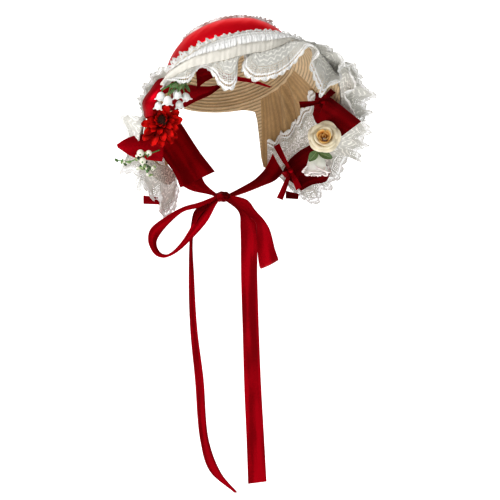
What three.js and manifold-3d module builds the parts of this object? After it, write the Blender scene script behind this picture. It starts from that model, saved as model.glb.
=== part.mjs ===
// A straw bonnet with a satin hatband, gathered lace, bows, small flowers and long ribbon ties.
// Millimetres, +Z up, the open front towards -Y. The origin is where the top of the head meets the crown.
import * as THREE from "three";
import { mergeVertices } from "three/addons/utils/BufferGeometryUtils.js";
import Module from "manifold-3d";

const wasm = await Module();
wasm.setup();

// Driving dimensions
const CLEARANCE = 0.6;
const KEPT_GAP = 0.3;
const STRAW_WALL = 2.4;
const CROWN_HALF_WIDTH = 80;
const CROWN_HALF_DEPTH = 90;
const CROWN_HEIGHT = 51;
const CROWN_SQUARENESS = 2.2;
const CROWN_TILT = 23;
const BRIM_LEAN = 20;
const SATIN = 1.0;
const LACE = 1.4;
const LACE_LIFT = STRAW_WALL / 2 + LACE / 2 + CLEARANCE;

// The view that the trims were measured in: turned from the front, level, from a set distance.
const VIEW_TURN = 24;
const VIEW_DISTANCE = 1500;
const VIEW_AIM_RIGHT = 32.5;
const VIEW_AIM_UP = -273;

const WELD = 1e-3;
const TINY = 1e-6;
const rad = THREE.MathUtils.degToRad;
const vec = (x, y, z) => new THREE.Vector3(x, y, z);
const UP = vec(0, 0, 1);
const VIEW_RIGHT = vec(Math.cos(rad(VIEW_TURN)), -Math.sin(rad(VIEW_TURN)), 0);
const VIEW_AWAY = vec(Math.sin(rad(VIEW_TURN)), Math.cos(rad(VIEW_TURN)), 0);

// A place given as that view shows it: right and up as they measure there, and its depth away from the eye.
function seen(right, up, deep) {
  const spread = 1 + deep / VIEW_DISTANCE;
  const acrossView = VIEW_AIM_RIGHT + (right - VIEW_AIM_RIGHT) * spread;
  const upView = VIEW_AIM_UP + (up - VIEW_AIM_UP) * spread;
  return vec(0, 0, 0)
    .addScaledVector(VIEW_RIGHT, acrossView)
    .addScaledVector(UP, upView)
    .addScaledVector(VIEW_AWAY, deep);
}

// A smooth curve through the rows of a table, which never overshoots them.
function smooth(rows, column, x) {
  const steps = rows.length - 1;
  let i = 0;
  while (i < steps - 1 && x > rows[i + 1][0]) i++;
  const slope = (k) => {
    if (k < 0 || k >= steps) return 0;
    return (rows[k + 1][column] - rows[k][column]) / (rows[k + 1][0] - rows[k][0]);
  };
  const bend = (k) => {
    const before = slope(k - 1);
    const after = slope(k);
    return before * after <= 0 ? 0 : (2 * before * after) / (before + after);
  };
  const width = rows[i + 1][0] - rows[i][0];
  const t = THREE.MathUtils.clamp((x - rows[i][0]) / width, 0, 1);
  const t2 = t * t;
  const t3 = t2 * t;
  return (
    (2 * t3 - 3 * t2 + 1) * rows[i][column] +
    (t3 - 2 * t2 + t) * width * bend(i) +
    (3 * t2 - 2 * t3) * rows[i + 1][column] +
    (t3 - t2) * width * bend(i + 1)
  );
}

// Solids from closed surfaces

function solidFrom(positions, triangles) {
  const geometry = new THREE.BufferGeometry();
  geometry.setAttribute("position", new THREE.Float32BufferAttribute(positions, 3));
  geometry.setIndex(triangles);
  const merged = mergeVertices(geometry, WELD);
  const kept = [];
  const index = merged.index.array;
  for (let i = 0; i < index.length; i += 3) {
    const [a, b, c] = [index[i], index[i + 1], index[i + 2]];
    if (a !== b && b !== c && c !== a) kept.push(a, b, c);
  }
  const vertProperties = merged.attributes.position.array;
  const solid = new wasm.Manifold(
    new wasm.Mesh({ numProp: 3, vertProperties, triVerts: new Uint32Array(kept) }),
  );
  if (solid.volume() > 0) return solid;
  const turned = new Uint32Array(kept);
  for (let i = 0; i < turned.length; i += 3) {
    [turned[i + 1], turned[i + 2]] = [turned[i + 2], turned[i + 1]];
  }
  return new wasm.Manifold(new wasm.Mesh({ numProp: 3, vertProperties, triVerts: turned }));
}

function solidOf(geometry) {
  const bare = geometry.clone();
  for (const name of Object.keys(bare.attributes)) if (name !== "position") bare.deleteAttribute(name);
  const merged = mergeVertices(bare, WELD);
  return solidFrom(Array.from(merged.attributes.position.array), Array.from(merged.index.array));
}

// A sheet of even thickness over the grid of stations us by vs.
// When it closes, the last column joins the first.
function sheetSolid(us, vs, place, thickness, closes = false) {
  const columns = us.length;
  const rows = vs.length;
  const middle = us.map((u) => vs.map((v) => place(u, v)));
  const column = (i) => (closes ? (i + columns) % columns : THREE.MathUtils.clamp(i, 0, columns - 1));
  const at = (i, j) => middle[column(i)][THREE.MathUtils.clamp(j, 0, rows - 1)];
  const positions = [];
  for (const side of [0.5, -0.5]) {
    for (let i = 0; i < columns; i++) {
      for (let j = 0; j < rows; j++) {
        const along = at(i + 1, j).clone().sub(at(i - 1, j));
        const across = at(i, j + 1).clone().sub(at(i, j - 1));
        if (along.length() < TINY) {
          along.copy(at(i + 1, j + 1)).sub(at(i - 1, j + 1));
        }
        const normal = along.cross(across).normalize();
        const point = at(i, j).clone().addScaledVector(normal, side * thickness);
        positions.push(point.x, point.y, point.z);
      }
    }
  }
  const triangles = [];
  const quad = (a, b, c, d) => triangles.push(a, b, c, a, c, d);
  const front = (i, j) => (i % columns) * rows + j;
  const back = (i, j) => columns * rows + front(i, j);
  const spans = closes ? columns : columns - 1;
  for (let i = 0; i < spans; i++) {
    for (let j = 0; j < rows - 1; j++) {
      quad(front(i, j), front(i + 1, j), front(i + 1, j + 1), front(i, j + 1));
      quad(back(i, j), back(i, j + 1), back(i + 1, j + 1), back(i + 1, j));
    }
    quad(front(i, 0), back(i, 0), back(i + 1, 0), front(i + 1, 0));
    quad(front(i + 1, rows - 1), back(i + 1, rows - 1), back(i, rows - 1), front(i, rows - 1));
  }
  if (!closes) {
    for (let j = 0; j < rows - 1; j++) {
      quad(front(0, j + 1), back(0, j + 1), back(0, j), front(0, j));
      quad(front(columns - 1, j), back(columns - 1, j), back(columns - 1, j + 1), front(columns - 1, j + 1));
    }
  }
  return solidFrom(positions, triangles);
}

const stations = (count) => Array.from({ length: count + 1 }, (_, i) => i / count);

// A solid grown by a clearance on every side, used to keep its neighbours off it.
function grown(solid, by) {
  const mesh = solid.getMesh();
  const source = mesh.vertProperties;
  const stride = mesh.numProp;
  const count = source.length / stride;
  const point = (i) => vec(source[i * stride], source[i * stride + 1], source[i * stride + 2]);
  const normals = Array.from({ length: count }, () => vec(0, 0, 0));
  for (let t = 0; t < mesh.triVerts.length; t += 3) {
    const corners = [mesh.triVerts[t], mesh.triVerts[t + 1], mesh.triVerts[t + 2]];
    const [a, b, c] = corners.map(point);
    const face = b.clone().sub(a).cross(c.clone().sub(a)).normalize();
    corners.forEach((corner, k) => {
      const ends = [[b, c], [c, a], [a, b]][k];
      const here = [a, b, c][k];
      normals[corner].addScaledVector(face, ends[0].clone().sub(here).angleTo(ends[1].clone().sub(here)));
    });
  }
  const positions = [];
  for (let i = 0; i < count; i++) {
    const moved = point(i).addScaledVector(normals[i].normalize(), by);
    positions.push(moved.x, moved.y, moved.z);
  }
  return solidFrom(positions, Array.from(mesh.triVerts));
}

function moved(solid, matrix) {
  const mesh = solid.getMesh();
  const positions = [];
  for (let i = 0; i < mesh.vertProperties.length; i += mesh.numProp) {
    const point = vec(...mesh.vertProperties.slice(i, i + 3)).applyMatrix4(matrix);
    positions.push(point.x, point.y, point.z);
  }
  return solidFrom(positions, Array.from(mesh.triVerts));
}

// The pieces

const bonnet = new THREE.Group();
const laid = [];

function boxesMeet(a, b) {
  return [0, 1, 2].every((k) => a.min[k] < b.max[k] && b.min[k] < a.max[k]);
}

// Adds a piece, cut back by the clearance where an earlier one lies.
function add(name, solid, material) {
  let piece = solid;
  for (const earlier of laid) {
    if (boxesMeet(piece.boundingBox(), earlier.boundingBox())) piece = piece.subtract(earlier);
  }
  const bodies = piece.decompose();
  piece = bodies.reduce((best, body) => (body.volume() > best.volume() ? body : best));
  const mesh = piece.getMesh();
  const positions = [];
  for (let i = 0; i < mesh.vertProperties.length; i += mesh.numProp) {
    positions.push(...mesh.vertProperties.slice(i, i + 3));
  }
  const geometry = new THREE.BufferGeometry();
  geometry.setAttribute("position", new THREE.Float32BufferAttribute(positions, 3));
  geometry.setIndex(Array.from(mesh.triVerts));
  geometry.computeVertexNormals();
  const node = new THREE.Mesh(geometry, material);
  node.name = name;
  bonnet.add(node);
  laid.push(grown(piece, KEPT_GAP));
}

// Finishes
const finish = (color, roughness) => new THREE.MeshStandardMaterial({ color, roughness, metalness: 0 });
const STRAW = finish(0xa99072, 0.8);
const RED_SATIN = finish(0xa20310, 0.35);
const DARK_SATIN = finish(0x68060e, 0.42);
const COTTON_LACE = finish(0xe6e2d8, 0.85);
const ROSE_CREAM = finish(0xf0e0b4, 0.6);
const BUD_WHITE = finish(0xf0f0ea, 0.6);
const PETAL_RED = finish(0xb8100c, 0.6);
const SEED_BROWN = finish(0x361305, 0.8);
const LEAF_GREEN = finish(0x4e7a48, 0.6);
const BERRY_CREAM = finish(0xefeede, 0.5);

// Straw shell

// The crown leans back, and its sides are squarer than an ellipse's.
const CROWN_UP = vec(0, Math.sin(rad(CROWN_TILT)), Math.cos(rad(CROWN_TILT)));
const CROWN_BACK = vec(0, Math.cos(rad(CROWN_TILT)), -Math.sin(rad(CROWN_TILT)));
const CROWN_FOOT = CROWN_UP.clone().multiplyScalar(STRAW_WALL / 2 - CROWN_HEIGHT);

// Around is in degrees, 0 at the front and positive to the right.
// Down runs from 0 at the top to 1 at the brow.
function crownPoint(around, down, lift = 0) {
  const a = rad(around);
  const w = (down * Math.PI) / 2;
  const reach = Math.sin(w) ** (2 / CROWN_SQUARENESS);
  const height = Math.cos(w) ** (2 / CROWN_SQUARENESS);
  return CROWN_FOOT.clone()
    .addScaledVector(vec(1, 0, 0), (CROWN_HALF_WIDTH + lift) * reach * Math.sin(a))
    .addScaledVector(CROWN_BACK, -(CROWN_HALF_DEPTH + lift) * reach * Math.cos(a))
    .addScaledVector(CROWN_UP, (CROWN_HEIGHT + lift) * height);
}

// Brim: degrees from the front, length from the brow, slope at the brow, slope at the edge.
const LENGTH = 1;
const BROW_SLOPE = 2;
const EDGE_SLOPE = 3;
const BRIM = [
  [0, 32, -4, -16],
  [30, 42, -8, -20],
  [55, 66, -18, -36],
  [75, 88, -38, -60],
  [95, 104, -58, -80],
  [113, 104, -74, -90],
  [124, 96, -84, -94],
  [132, 18, -88, -90],
  [150, 8, -88, -90],
  [180, 6, -88, -90],
];
const FLAP_END = 130;

// The level direction in which the brim leaves the crown: it leans forward at the sides.
function brimOut(around) {
  const turned = Math.min(Math.abs(around), FLAP_END);
  const lean = BRIM_LEAN * Math.sin((Math.PI * turned) / FLAP_END) * Math.sign(around);
  const a = rad(around - lean);
  return vec(Math.sin(a), -Math.cos(a), 0);
}

const brimSlope = (around, along) => {
  const start = smooth(BRIM, BROW_SLOPE, Math.abs(around));
  return start + (smooth(BRIM, EDGE_SLOPE, Math.abs(around)) - start) * along;
};

// Along runs from 0 at the brow to 1 at the edge.
function brimMiddle(around, along) {
  const length = smooth(BRIM, LENGTH, Math.abs(around)) * along;
  const start = rad(smooth(BRIM, BROW_SLOPE, Math.abs(around)));
  const here = rad(brimSlope(around, along));
  const half = (here - start) / 2;
  const chord = Math.abs(half) < TINY ? length : (length * Math.sin(half)) / half;
  const mid = (start + here) / 2;
  return crownPoint(around, 1)
    .addScaledVector(brimOut(around), chord * Math.cos(mid))
    .addScaledVector(UP, chord * Math.sin(mid));
}

const NORMAL_STEP_ALONG = 0.02;
const NORMAL_STEP_AROUND = 1;

function brimNormal(around, along) {
  const ahead = brimMiddle(around, along + NORMAL_STEP_ALONG);
  const outwards = ahead.sub(brimMiddle(around, along - NORMAL_STEP_ALONG));
  const right = brimMiddle(around + NORMAL_STEP_AROUND, along);
  const sideways = right.sub(brimMiddle(around - NORMAL_STEP_AROUND, along));
  return outwards.cross(sideways).normalize();
}

// The same place, at a height over the middle of the straw, outwards.
const brimPoint = (around, along, lift = 0) =>
  brimMiddle(around, along).addScaledVector(brimNormal(around, along), lift);

const HALF_ROUND = [0, 12, 24, 36, 48, 58, 68, 78, 88, 97, 105, 112, 118, 123, 127, 130, 133, 142, 154, 167];
const ROUND = [...HALF_ROUND, 180, ...HALF_ROUND.slice(1).reverse().map((a) => -a)];
const CROWN_ROWS = [0, 0.3, 0.46, 0.62, 0.78, 0.98];
const BRIM_ROWS = [1, 1.25, 1.5, 1.75, 2];
const shellPoint = (around, run) => (run <= 1 ? crownPoint(around, run) : brimPoint(around, run - 1));
add("straw_shell", sheetSolid(ROUND, [...CROWN_ROWS, ...BRIM_ROWS], shellPoint, STRAW_WALL, true), STRAW);

// Satin hatband round the crown
const BAND_TOP = 0.46;
const BAND_FOOT = 0.98;
const BAND_LIFT = STRAW_WALL / 2 + SATIN / 2 + CLEARANCE;
const bandPoint = (around, down) => crownPoint(around, down, BAND_LIFT);
const BAND_ROWS = [BAND_TOP, 0.62, 0.78, BAND_FOOT];
add("hatband", sheetSolid(ROUND, BAND_ROWS, bandPoint, SATIN, true), RED_SATIN);

// Gathered lace

// Folds: degrees from the front, then for the hem its drop, the slope of the hang, the push outwards
// and the shift to the right. Each row is a crest or a valley.
const DROP = 1;
const HANG = 2;
const PUSH = 3;
const SHIFT = 4;
const COLUMNS_PER_FOLD = 2;
const STITCHED = -1;
const TURN_SHARPNESS = 0.4;
const PUSH_GROWTH = 1.2;

// Lace stitched down on the straw at one line, which hangs over another near its edge.
function ruffle(folds, stitchedLine, turnLine, downs) {
  const us = [];
  for (let i = 0; i < folds.length - 1; i++) {
    const width = folds[i + 1][0] - folds[i][0];
    for (let k = 0; k < COLUMNS_PER_FOLD; k++) us.push(folds[i][0] + (width * k) / COLUMNS_PER_FOLD);
  }
  us.push(folds[folds.length - 1][0]);
  const place = (around, down) => {
    if (down === STITCHED) return brimPoint(around, stitchedLine, LACE_LIFT);
    const drop = smooth(folds, DROP, around) * down;
    const turned = down ** TURN_SHARPNESS;
    const slope = rad(THREE.MathUtils.lerp(brimSlope(around, 1), smooth(folds, HANG, around), turned));
    const push = smooth(folds, PUSH, around) * down ** PUSH_GROWTH;
    return brimPoint(around, turnLine, LACE_LIFT)
      .addScaledVector(brimOut(around), drop * Math.cos(slope) - push * Math.sin(slope))
      .addScaledVector(UP, drop * Math.sin(slope) + push * Math.cos(slope))
      .add(vec(smooth(folds, SHIFT, around) * down, 0, 0));
  };
  return sheetSolid(us, downs, place, LACE);
}

const FRONT_FOLDS = [
  [-121, 28, -92, 0, 18],
  [-116, 46, -92, 8, 14],
  [-110, 74, -92, -7, 18],
  [-103, 48, -88, 8, 2],
  [-97, 38, -84, -6, 0],
  [-92, 20, -70, 4, 0],
  [-87, 22, -40, -3, 0],
  [-82, 36, -16, 3, 0],
  [-77, 14, -30, -3, 0],
  [-70, 9, -60, 2, 0],
  [-64, 12, -78, -2, 0],
  [-56, 27, -86, 8, 0],
  [-46, 22, -84, -8, 0],
  [-39, 40, -90, 2, 0],
  [-31, 63, -92, 12, 0],
  [-22, 31, -88, -10, 0],
  [-12, 54, -90, 8, 0],
  [-2, 60, -90, 14, 0],
  [8, 54, -90, 8, 0],
  [17, 36, -84, -10, 0],
  [24, 46, -84, 12, 0],
  [32, 38, -84, -12, 0],
  [41, 54, -96, 8, 0],
  [50, 34, -74, -8, 0],
  [58, 40, -64, 6, 0],
  [64, 36, -58, -8, 0],
  [71, 40, -50, 6, 0],
  [78, 38, -50, -8, 0],
  [85, 42, -54, 6, 0],
  [92, 44, -62, -8, 0],
  [99, 56, -72, 8, 0],
  [105, 46, -82, -8, 0],
  [111, 30, -90, 6, 0],
  [118, 12, -94, 0, 0],
];
const FRONT_LINE = 0.93;
const FRONT_TURN = 1.03;
const FRONT_DOWNS = [STITCHED, 0, 0.35, 0.7, 1];
add("front_ruffle", ruffle(FRONT_FOLDS, FRONT_LINE, FRONT_TURN, FRONT_DOWNS), COTTON_LACE);

// The second layer, which flares out behind the first at both sides
const BACK_FOLDS_ROSE_SIDE = [
  [28, 18, -4, 0, 0],
  [34, 26, -8, 6, 0],
  [40, 32, -12, -4, 0],
  [46, 36, -14, 7, 0],
  [52, 38, -14, -5, 0],
  [58, 44, -14, 7, 0],
  [64, 44, -12, -5, 0],
  [70, 46, -14, 7, 0],
  [76, 42, -16, -5, 0],
  [83, 40, -22, 7, 0],
  [90, 36, -32, -4, 0],
  [97, 26, -44, 0, 0],
];
const BACK_FOLDS_DAISY_SIDE = [
  [-84, 8, -30, 0, 0],
  [-79, 14, -10, 4, 0],
  [-74, 17, 6, -4, 0],
  [-69, 17, 14, 4, 0],
  [-64, 10, 16, 0, 0],
];
const BACK_LINE = 0.78;
const BACK_TURN = 0.86;
const BACK_DOWNS = [STITCHED, 0, 0.5, 1];
for (const [side, folds] of [["rose", BACK_FOLDS_ROSE_SIDE], ["daisy", BACK_FOLDS_DAISY_SIDE]]) {
  add("back_ruffle_" + side + "_side", ruffle(folds, BACK_LINE, BACK_TURN, BACK_DOWNS), COTTON_LACE);
}

const STEPS_PER_WAVE = 3;

// A narrow waved edging between a foot line and a tip line.
function frill(from, to, waves, foot, tip, closes = false) {
  const steps = waves * STEPS_PER_WAVE;
  const us = Array.from({ length: closes ? steps : steps + 1 }, (_, i) => from + ((to - from) * i) / steps);
  const place = (around, rise) => {
    const wave = Math.sin(((around - from) / (to - from)) * waves * 2 * Math.PI);
    return foot(around).lerp(tip(around, wave), rise);
  };
  return sheetSolid(us, [0, 1], place, LACE, closes);
}

// Heading of the front ruffle, which stands up from its gathering line
const HEADING_LINE = 0.86;
const HEADING_TIP_LINE = 0.81;
const HEADING_RISE = 9;
const HEADING_WAVE = 0.037;
const HEADING_FROM = -63;
const HEADING_TO = 27;
const HEADING_WAVES = 16;
const headingFoot = (around) => brimPoint(around, HEADING_LINE, STRAW_WALL / 2 + CLEARANCE);
const headingTip = (around, wave) =>
  brimPoint(around, HEADING_TIP_LINE + wave * HEADING_WAVE, STRAW_WALL / 2 + HEADING_RISE);
add("ruffle_heading", frill(HEADING_FROM, HEADING_TO, HEADING_WAVES, headingFoot, headingTip), COTTON_LACE);

// Frill above the hatband: degrees from the front, reach.
const CROWN_FRILL = [
  [-180, 9],
  [-100, 6],
  [-40, 3.5],
  [20, 3.5],
  [60, 10],
  [100, 16],
  [180, 9],
];
const REACH = 1;
const FRILL_FOOT = BAND_TOP - 0.03;
const FRILL_WAVES = 12;
const FRILL_OUT = 0.75;
const FRILL_RISE = 0.55;
const FRILL_SWING = 0.25;
const frillFoot = (around) => crownPoint(around, FRILL_FOOT, LACE_LIFT);
const frillTip = (around, wave) => {
  const reach = smooth(CROWN_FRILL, REACH, around);
  const out = crownPoint(around, 1).sub(CROWN_FOOT).normalize();
  return frillFoot(around)
    .addScaledVector(out, reach * (FRILL_OUT + FRILL_SWING * wave))
    .addScaledVector(CROWN_UP, reach * (FRILL_RISE - FRILL_SWING * wave));
};
add("crown_frill", frill(-180, 180, FRILL_WAVES, frillFoot, frillTip, true), COTTON_LACE);

// Lace lining the cheek flaps: a sheet on the inner face, with a scalloped edge towards the crown.
const LINING_LIFT = LACE_LIFT + 0.9;
const LINING_START_FRONT = 0.4;
const LINING_START_BACK = 0.64;
const LINING_SCALLOP = 0.03;
const LINING_SCALLOPS = 4.5;
function flapLace(side, from, to) {
  const place = (u, v) => {
    const scallop = LINING_SCALLOP * Math.cos(u * LINING_SCALLOPS * 2 * Math.PI);
    const start = THREE.MathUtils.lerp(LINING_START_FRONT, LINING_START_BACK, u) + scallop;
    const around = side * THREE.MathUtils.lerp(from, to, u);
    return brimPoint(around, THREE.MathUtils.lerp(start, 1, v), -LINING_LIFT);
  };
  return sheetSolid(stations(10), [0, 0.35, 0.7, 1], place, LACE);
}
add("flap_lace_rose_side", flapLace(1, 76, 121), COTTON_LACE);
add("flap_lace_daisy_side", flapLace(-1, 90, 118), COTTON_LACE);

// Ribbons

const LOOK_AHEAD = 0.02;

// Rows: one place on each of the two edges, each as right, up and deep in the view.
function ribbon(rows, steps, bulge = 0) {
  const edge = (first) => {
    const points = rows.map((row) => seen(row[first], row[first + 1], row[first + 2]));
    return new THREE.CatmullRomCurve3(points, false, "centripetal");
  };
  const one = edge(0);
  const other = edge(3);
  const place = (u, v) => {
    const a = one.getPoint(u);
    const b = other.getPoint(u);
    const mid = a.clone().lerp(b, v);
    if (bulge === 0) return mid;
    const ahead = one.getPoint(Math.min(u + LOOK_AHEAD, 1)).sub(one.getPoint(Math.max(u - LOOK_AHEAD, 0)));
    const normal = ahead.cross(b.sub(a)).normalize();
    return mid.addScaledVector(normal, bulge * Math.sin(Math.PI * v));
  };
  return sheetSolid(stations(steps), bulge === 0 ? [0, 1] : [0, 0.5, 1], place, SATIN);
}

// Ties, from the cheek flaps to the knot under the chin
const tiePanel = [
  [-56, -110, -8, -84, -146, -24],
  [-43, -130, -20, -75, -160, -30],
  [-31, -148, -30, -66, -173, -36],
  [-13, -171, -38, -58, -192, -40],
];
add("tie_panel_daisy_side", ribbon(tiePanel, 6), DARK_SATIN);
const tieDaisySide = [
  [-31, -175, -35, -57, -189, -39],
  [-26, -186, -36, -43, -196, -38],
  [-13, -198, -40, -20, -201, -40],
  [-5, -203, -42, -9, -205, -42],
];
add("tie_daisy_side", ribbon(tieDaisySide, 6), DARK_SATIN);
const tieRoseSide = [
  [5, -200, -40, 10, -204, -40],
  [22, -191, -18, 28, -198, -18],
  [40, -180, 6, 48, -190, 6],
  [55, -163, 36, 66, -182, 36],
  [62, -148, 46, 76, -172, 46],
];
add("tie_rose_side", ribbon(tieRoseSide, 8), RED_SATIN);

// The knot is a flattened ball with the folds of the ribbon round it.
const KNOT_HALF_WIDTH = 10;
const KNOT_HALF_HEIGHT = 6.5;
const KNOT_HALF_DEPTH = 8;
const KNOT_FOLDS = 5;
const KNOT_FOLD_DEPTH = 0.07;
const KNOT_TWIST = 2;
function knotSolid() {
  const ball = new THREE.SphereGeometry(1, 12, 8);
  const places = ball.attributes.position;
  for (let i = 0; i < places.count; i++) {
    const point = vec().fromBufferAttribute(places, i);
    const turn = Math.atan2(point.y, point.z);
    const fold = 1 + KNOT_FOLD_DEPTH * Math.sin(KNOT_FOLDS * turn + KNOT_TWIST * point.x);
    const depth = point.z * KNOT_HALF_DEPTH * fold;
    places.setXYZ(i, point.x * KNOT_HALF_WIDTH, depth, point.y * KNOT_HALF_HEIGHT * fold);
  }
  return solidOf(ball);
}

// A frame that sits at a place of the view and turns to face it, with a further turn to the right and up.
function facing(place, turnRight = 0, turnUp = 0, roll = 0) {
  const away = new THREE.Matrix4().makeBasis(VIEW_RIGHT, UP, VIEW_AWAY.clone().negate());
  const turn = new THREE.Matrix4().makeRotationFromEuler(
    new THREE.Euler(rad(-turnUp), rad(turnRight), rad(roll), "YXZ"),
  );
  return new THREE.Matrix4().setPosition(place).multiply(away).multiply(turn);
}

const knotFrame = new THREE.Matrix4()
  .setPosition(seen(-3, -204, -42))
  .multiply(new THREE.Matrix4().makeRotationZ(rad(-VIEW_TURN)));
add("tie_knot", moved(knotSolid(), knotFrame), DARK_SATIN);

const loopDaisySide = [
  [-13, -203, -52, -12, -209, -34],
  [-33, -211, -54, -30, -217, -32],
  [-54, -217, -56, -54, -223, -30],
  [-79, -231, -56, -72, -238, -32],
  [-97, -246, -54, -84, -252, -34],
  [-100, -258, -53, -89, -262, -34],
  [-98, -268, -52, -88, -270, -34],
  [-91, -279, -54, -83, -277, -32],
  [-81, -283, -57, -76, -279, -33],
  [-72, -281, -60, -68, -275, -36],
  [-60, -274, -62, -56, -262, -39],
  [-36, -251, -60, -44, -243, -37],
  [-22, -234, -56, -32, -225, -35],
  [-12, -215, -50, -20, -211, -35],
  [-6, -206, -46, -10, -204, -37],
];
add("tie_loop_daisy_side", ribbon(loopDaisySide, 24), RED_SATIN);
const loopRoseSide = [
  [1, -206, -46, 3, -201, -42],
  [20, -221, -56, 29, -208, -50],
  [31, -229, -59, 40, -222, -53],
  [40, -238, -58, 50, -233, -52],
  [41, -254, -54, 58, -246, -46],
  [42, -274, -50, 65, -272, -42],
  [45, -295, -44, 69, -284, -36],
  [47, -297, -38, 69, -286, -31],
  [44, -280, -32, 64, -272, -26],
  [34, -245, -30, 52, -240, -24],
  [20, -222, -32, 34, -216, -27],
  [1, -207, -38, 3, -204, -36],
];
add("tie_loop_rose_side", ribbon(loopRoseSide, 22), RED_SATIN);

// Tails, which hang free to their cut ends
const tailWide = [
  [-3, -206, -50, 1, -204, -44],
  [18, -224, -65, 32, -230, -58],
  [20, -245, -66, 40, -248, -58],
  [21, -312, -62, 42, -312, -52],
  [23, -377, -60, 44, -377, -49],
  [25, -450, -60, 47, -450, -50],
  [28, -520, -62, 51, -520, -54],
  [30, -577, -64, 54, -574, -58],
];
add("tie_tail_rose_side", ribbon(tailWide, 14), RED_SATIN);
const tailNarrow = [
  [-8, -206, -36, -6, -208, -44],
  [-38, -220, -24, -31, -226, -44],
  [-44, -240, -24, -41, -252, -46],
  [-47, -312, -27, -40, -312, -49],
  [-45, -377, -28, -36, -377, -50],
  [-39, -440, -28, -28, -440, -50],
  [-32, -521, -28, -21, -521, -50],
  [-20, -560, -30, -5, -563, -49],
  [12, -588, -36, 16, -588, -40],
];
add("tie_tail_daisy_side", ribbon(tailNarrow, 16), RED_SATIN);

// Cut ends of ribbon that show below the lace on both sides
const endDaisySide = [
  [-106, -202, -30, -106, -213, -30],
  [-83, -205, -22, -83, -214, -22],
];
add("ribbon_end_daisy_side", ribbon(endDaisySide, 2), RED_SATIN);
const endRoseSide = [
  [79, -196, 48, 79, -206, 48],
  [96, -200, 45, 95, -207, 45],
];
add("ribbon_end_rose_side", ribbon(endRoseSide, 2), DARK_SATIN);

// Rose side: ribbon ends and small bows on the lining lace
const roseUpperRibbon = [
  [118, -68, -30, 114, -97, -16],
  [134, -73, -38, 119, -108, -18],
  [152, -86, -50, 134, -117, -22],
  [177, -106, -56, 152, -125, -28],
];
add("rose_side_upper_ribbon", ribbon(roseUpperRibbon, 6), DARK_SATIN);
const roseLowerRibbon = [
  [113, -135, 14, 138, -170, 2],
  [96, -145, 30, 131, -184, 10],
  [83, -157, 41, 114, -188, 22],
  [74, -173, 43, 99, -196, 30],
];
add("rose_side_lower_ribbon", ribbon(roseLowerRibbon, 6), DARK_SATIN);

// A small tied bow: two loops, two tails and a knot in one.
// Each limb is narrow at the knot and arches forward.
const BOW_HALF_WIDTH = 3.2;
const BOW_KNOT_RADIUS = 4.2;
const TAIL_ARCH = 3;
const LOOP_ARCH = 5;
const BOW_LIMB = [
  [0, 0.5, 0.5, 0],
  [0.5, 1, 1, 1],
  [1, 1, 1.6, -0.2],
];
function smallBow(centre, tails, loops, deep) {
  const from = new THREE.Vector2(...centre);
  const limb = (toRight, toUp, arch) => {
    const to = new THREE.Vector2(toRight, toUp);
    const along = to.clone().sub(from).normalize();
    const side = new THREE.Vector2(-along.y, along.x).multiplyScalar(BOW_HALF_WIDTH);
    const rows = BOW_LIMB.map(([run, left, right, raised]) => {
      const here = from.clone().lerp(to, run);
      const one = here.clone().addScaledVector(side, left);
      const other = here.clone().addScaledVector(side, -right);
      const depth = deep - arch * raised;
      return [one.x, one.y, depth, other.x, other.y, depth];
    });
    return ribbon(rows, 3);
  };
  const knot = solidOf(new THREE.SphereGeometry(BOW_KNOT_RADIUS, 7, 5));
  let bow = moved(knot, facing(seen(from.x, from.y, deep)));
  for (const [toRight, toUp] of tails) bow = bow.add(limb(toRight, toUp, TAIL_ARCH));
  for (const [toRight, toUp] of loops) bow = bow.add(limb(toRight, toUp, LOOP_ARCH));
  return bow;
}
const upperBow = smallBow([127, -80], [[97, -85], [140, -65]], [[120, -69], [120, -94]], -44);
add("rose_side_upper_bow", upperBow, DARK_SATIN);
const lowerBow = smallBow([85, -170], [[66, -137], [72, -207]], [[76, -177], [97, -193]], 27);
add("rose_side_lower_bow", lowerBow, RED_SATIN);

// Flowers. Each is built facing +Z and then turned to its place.

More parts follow.
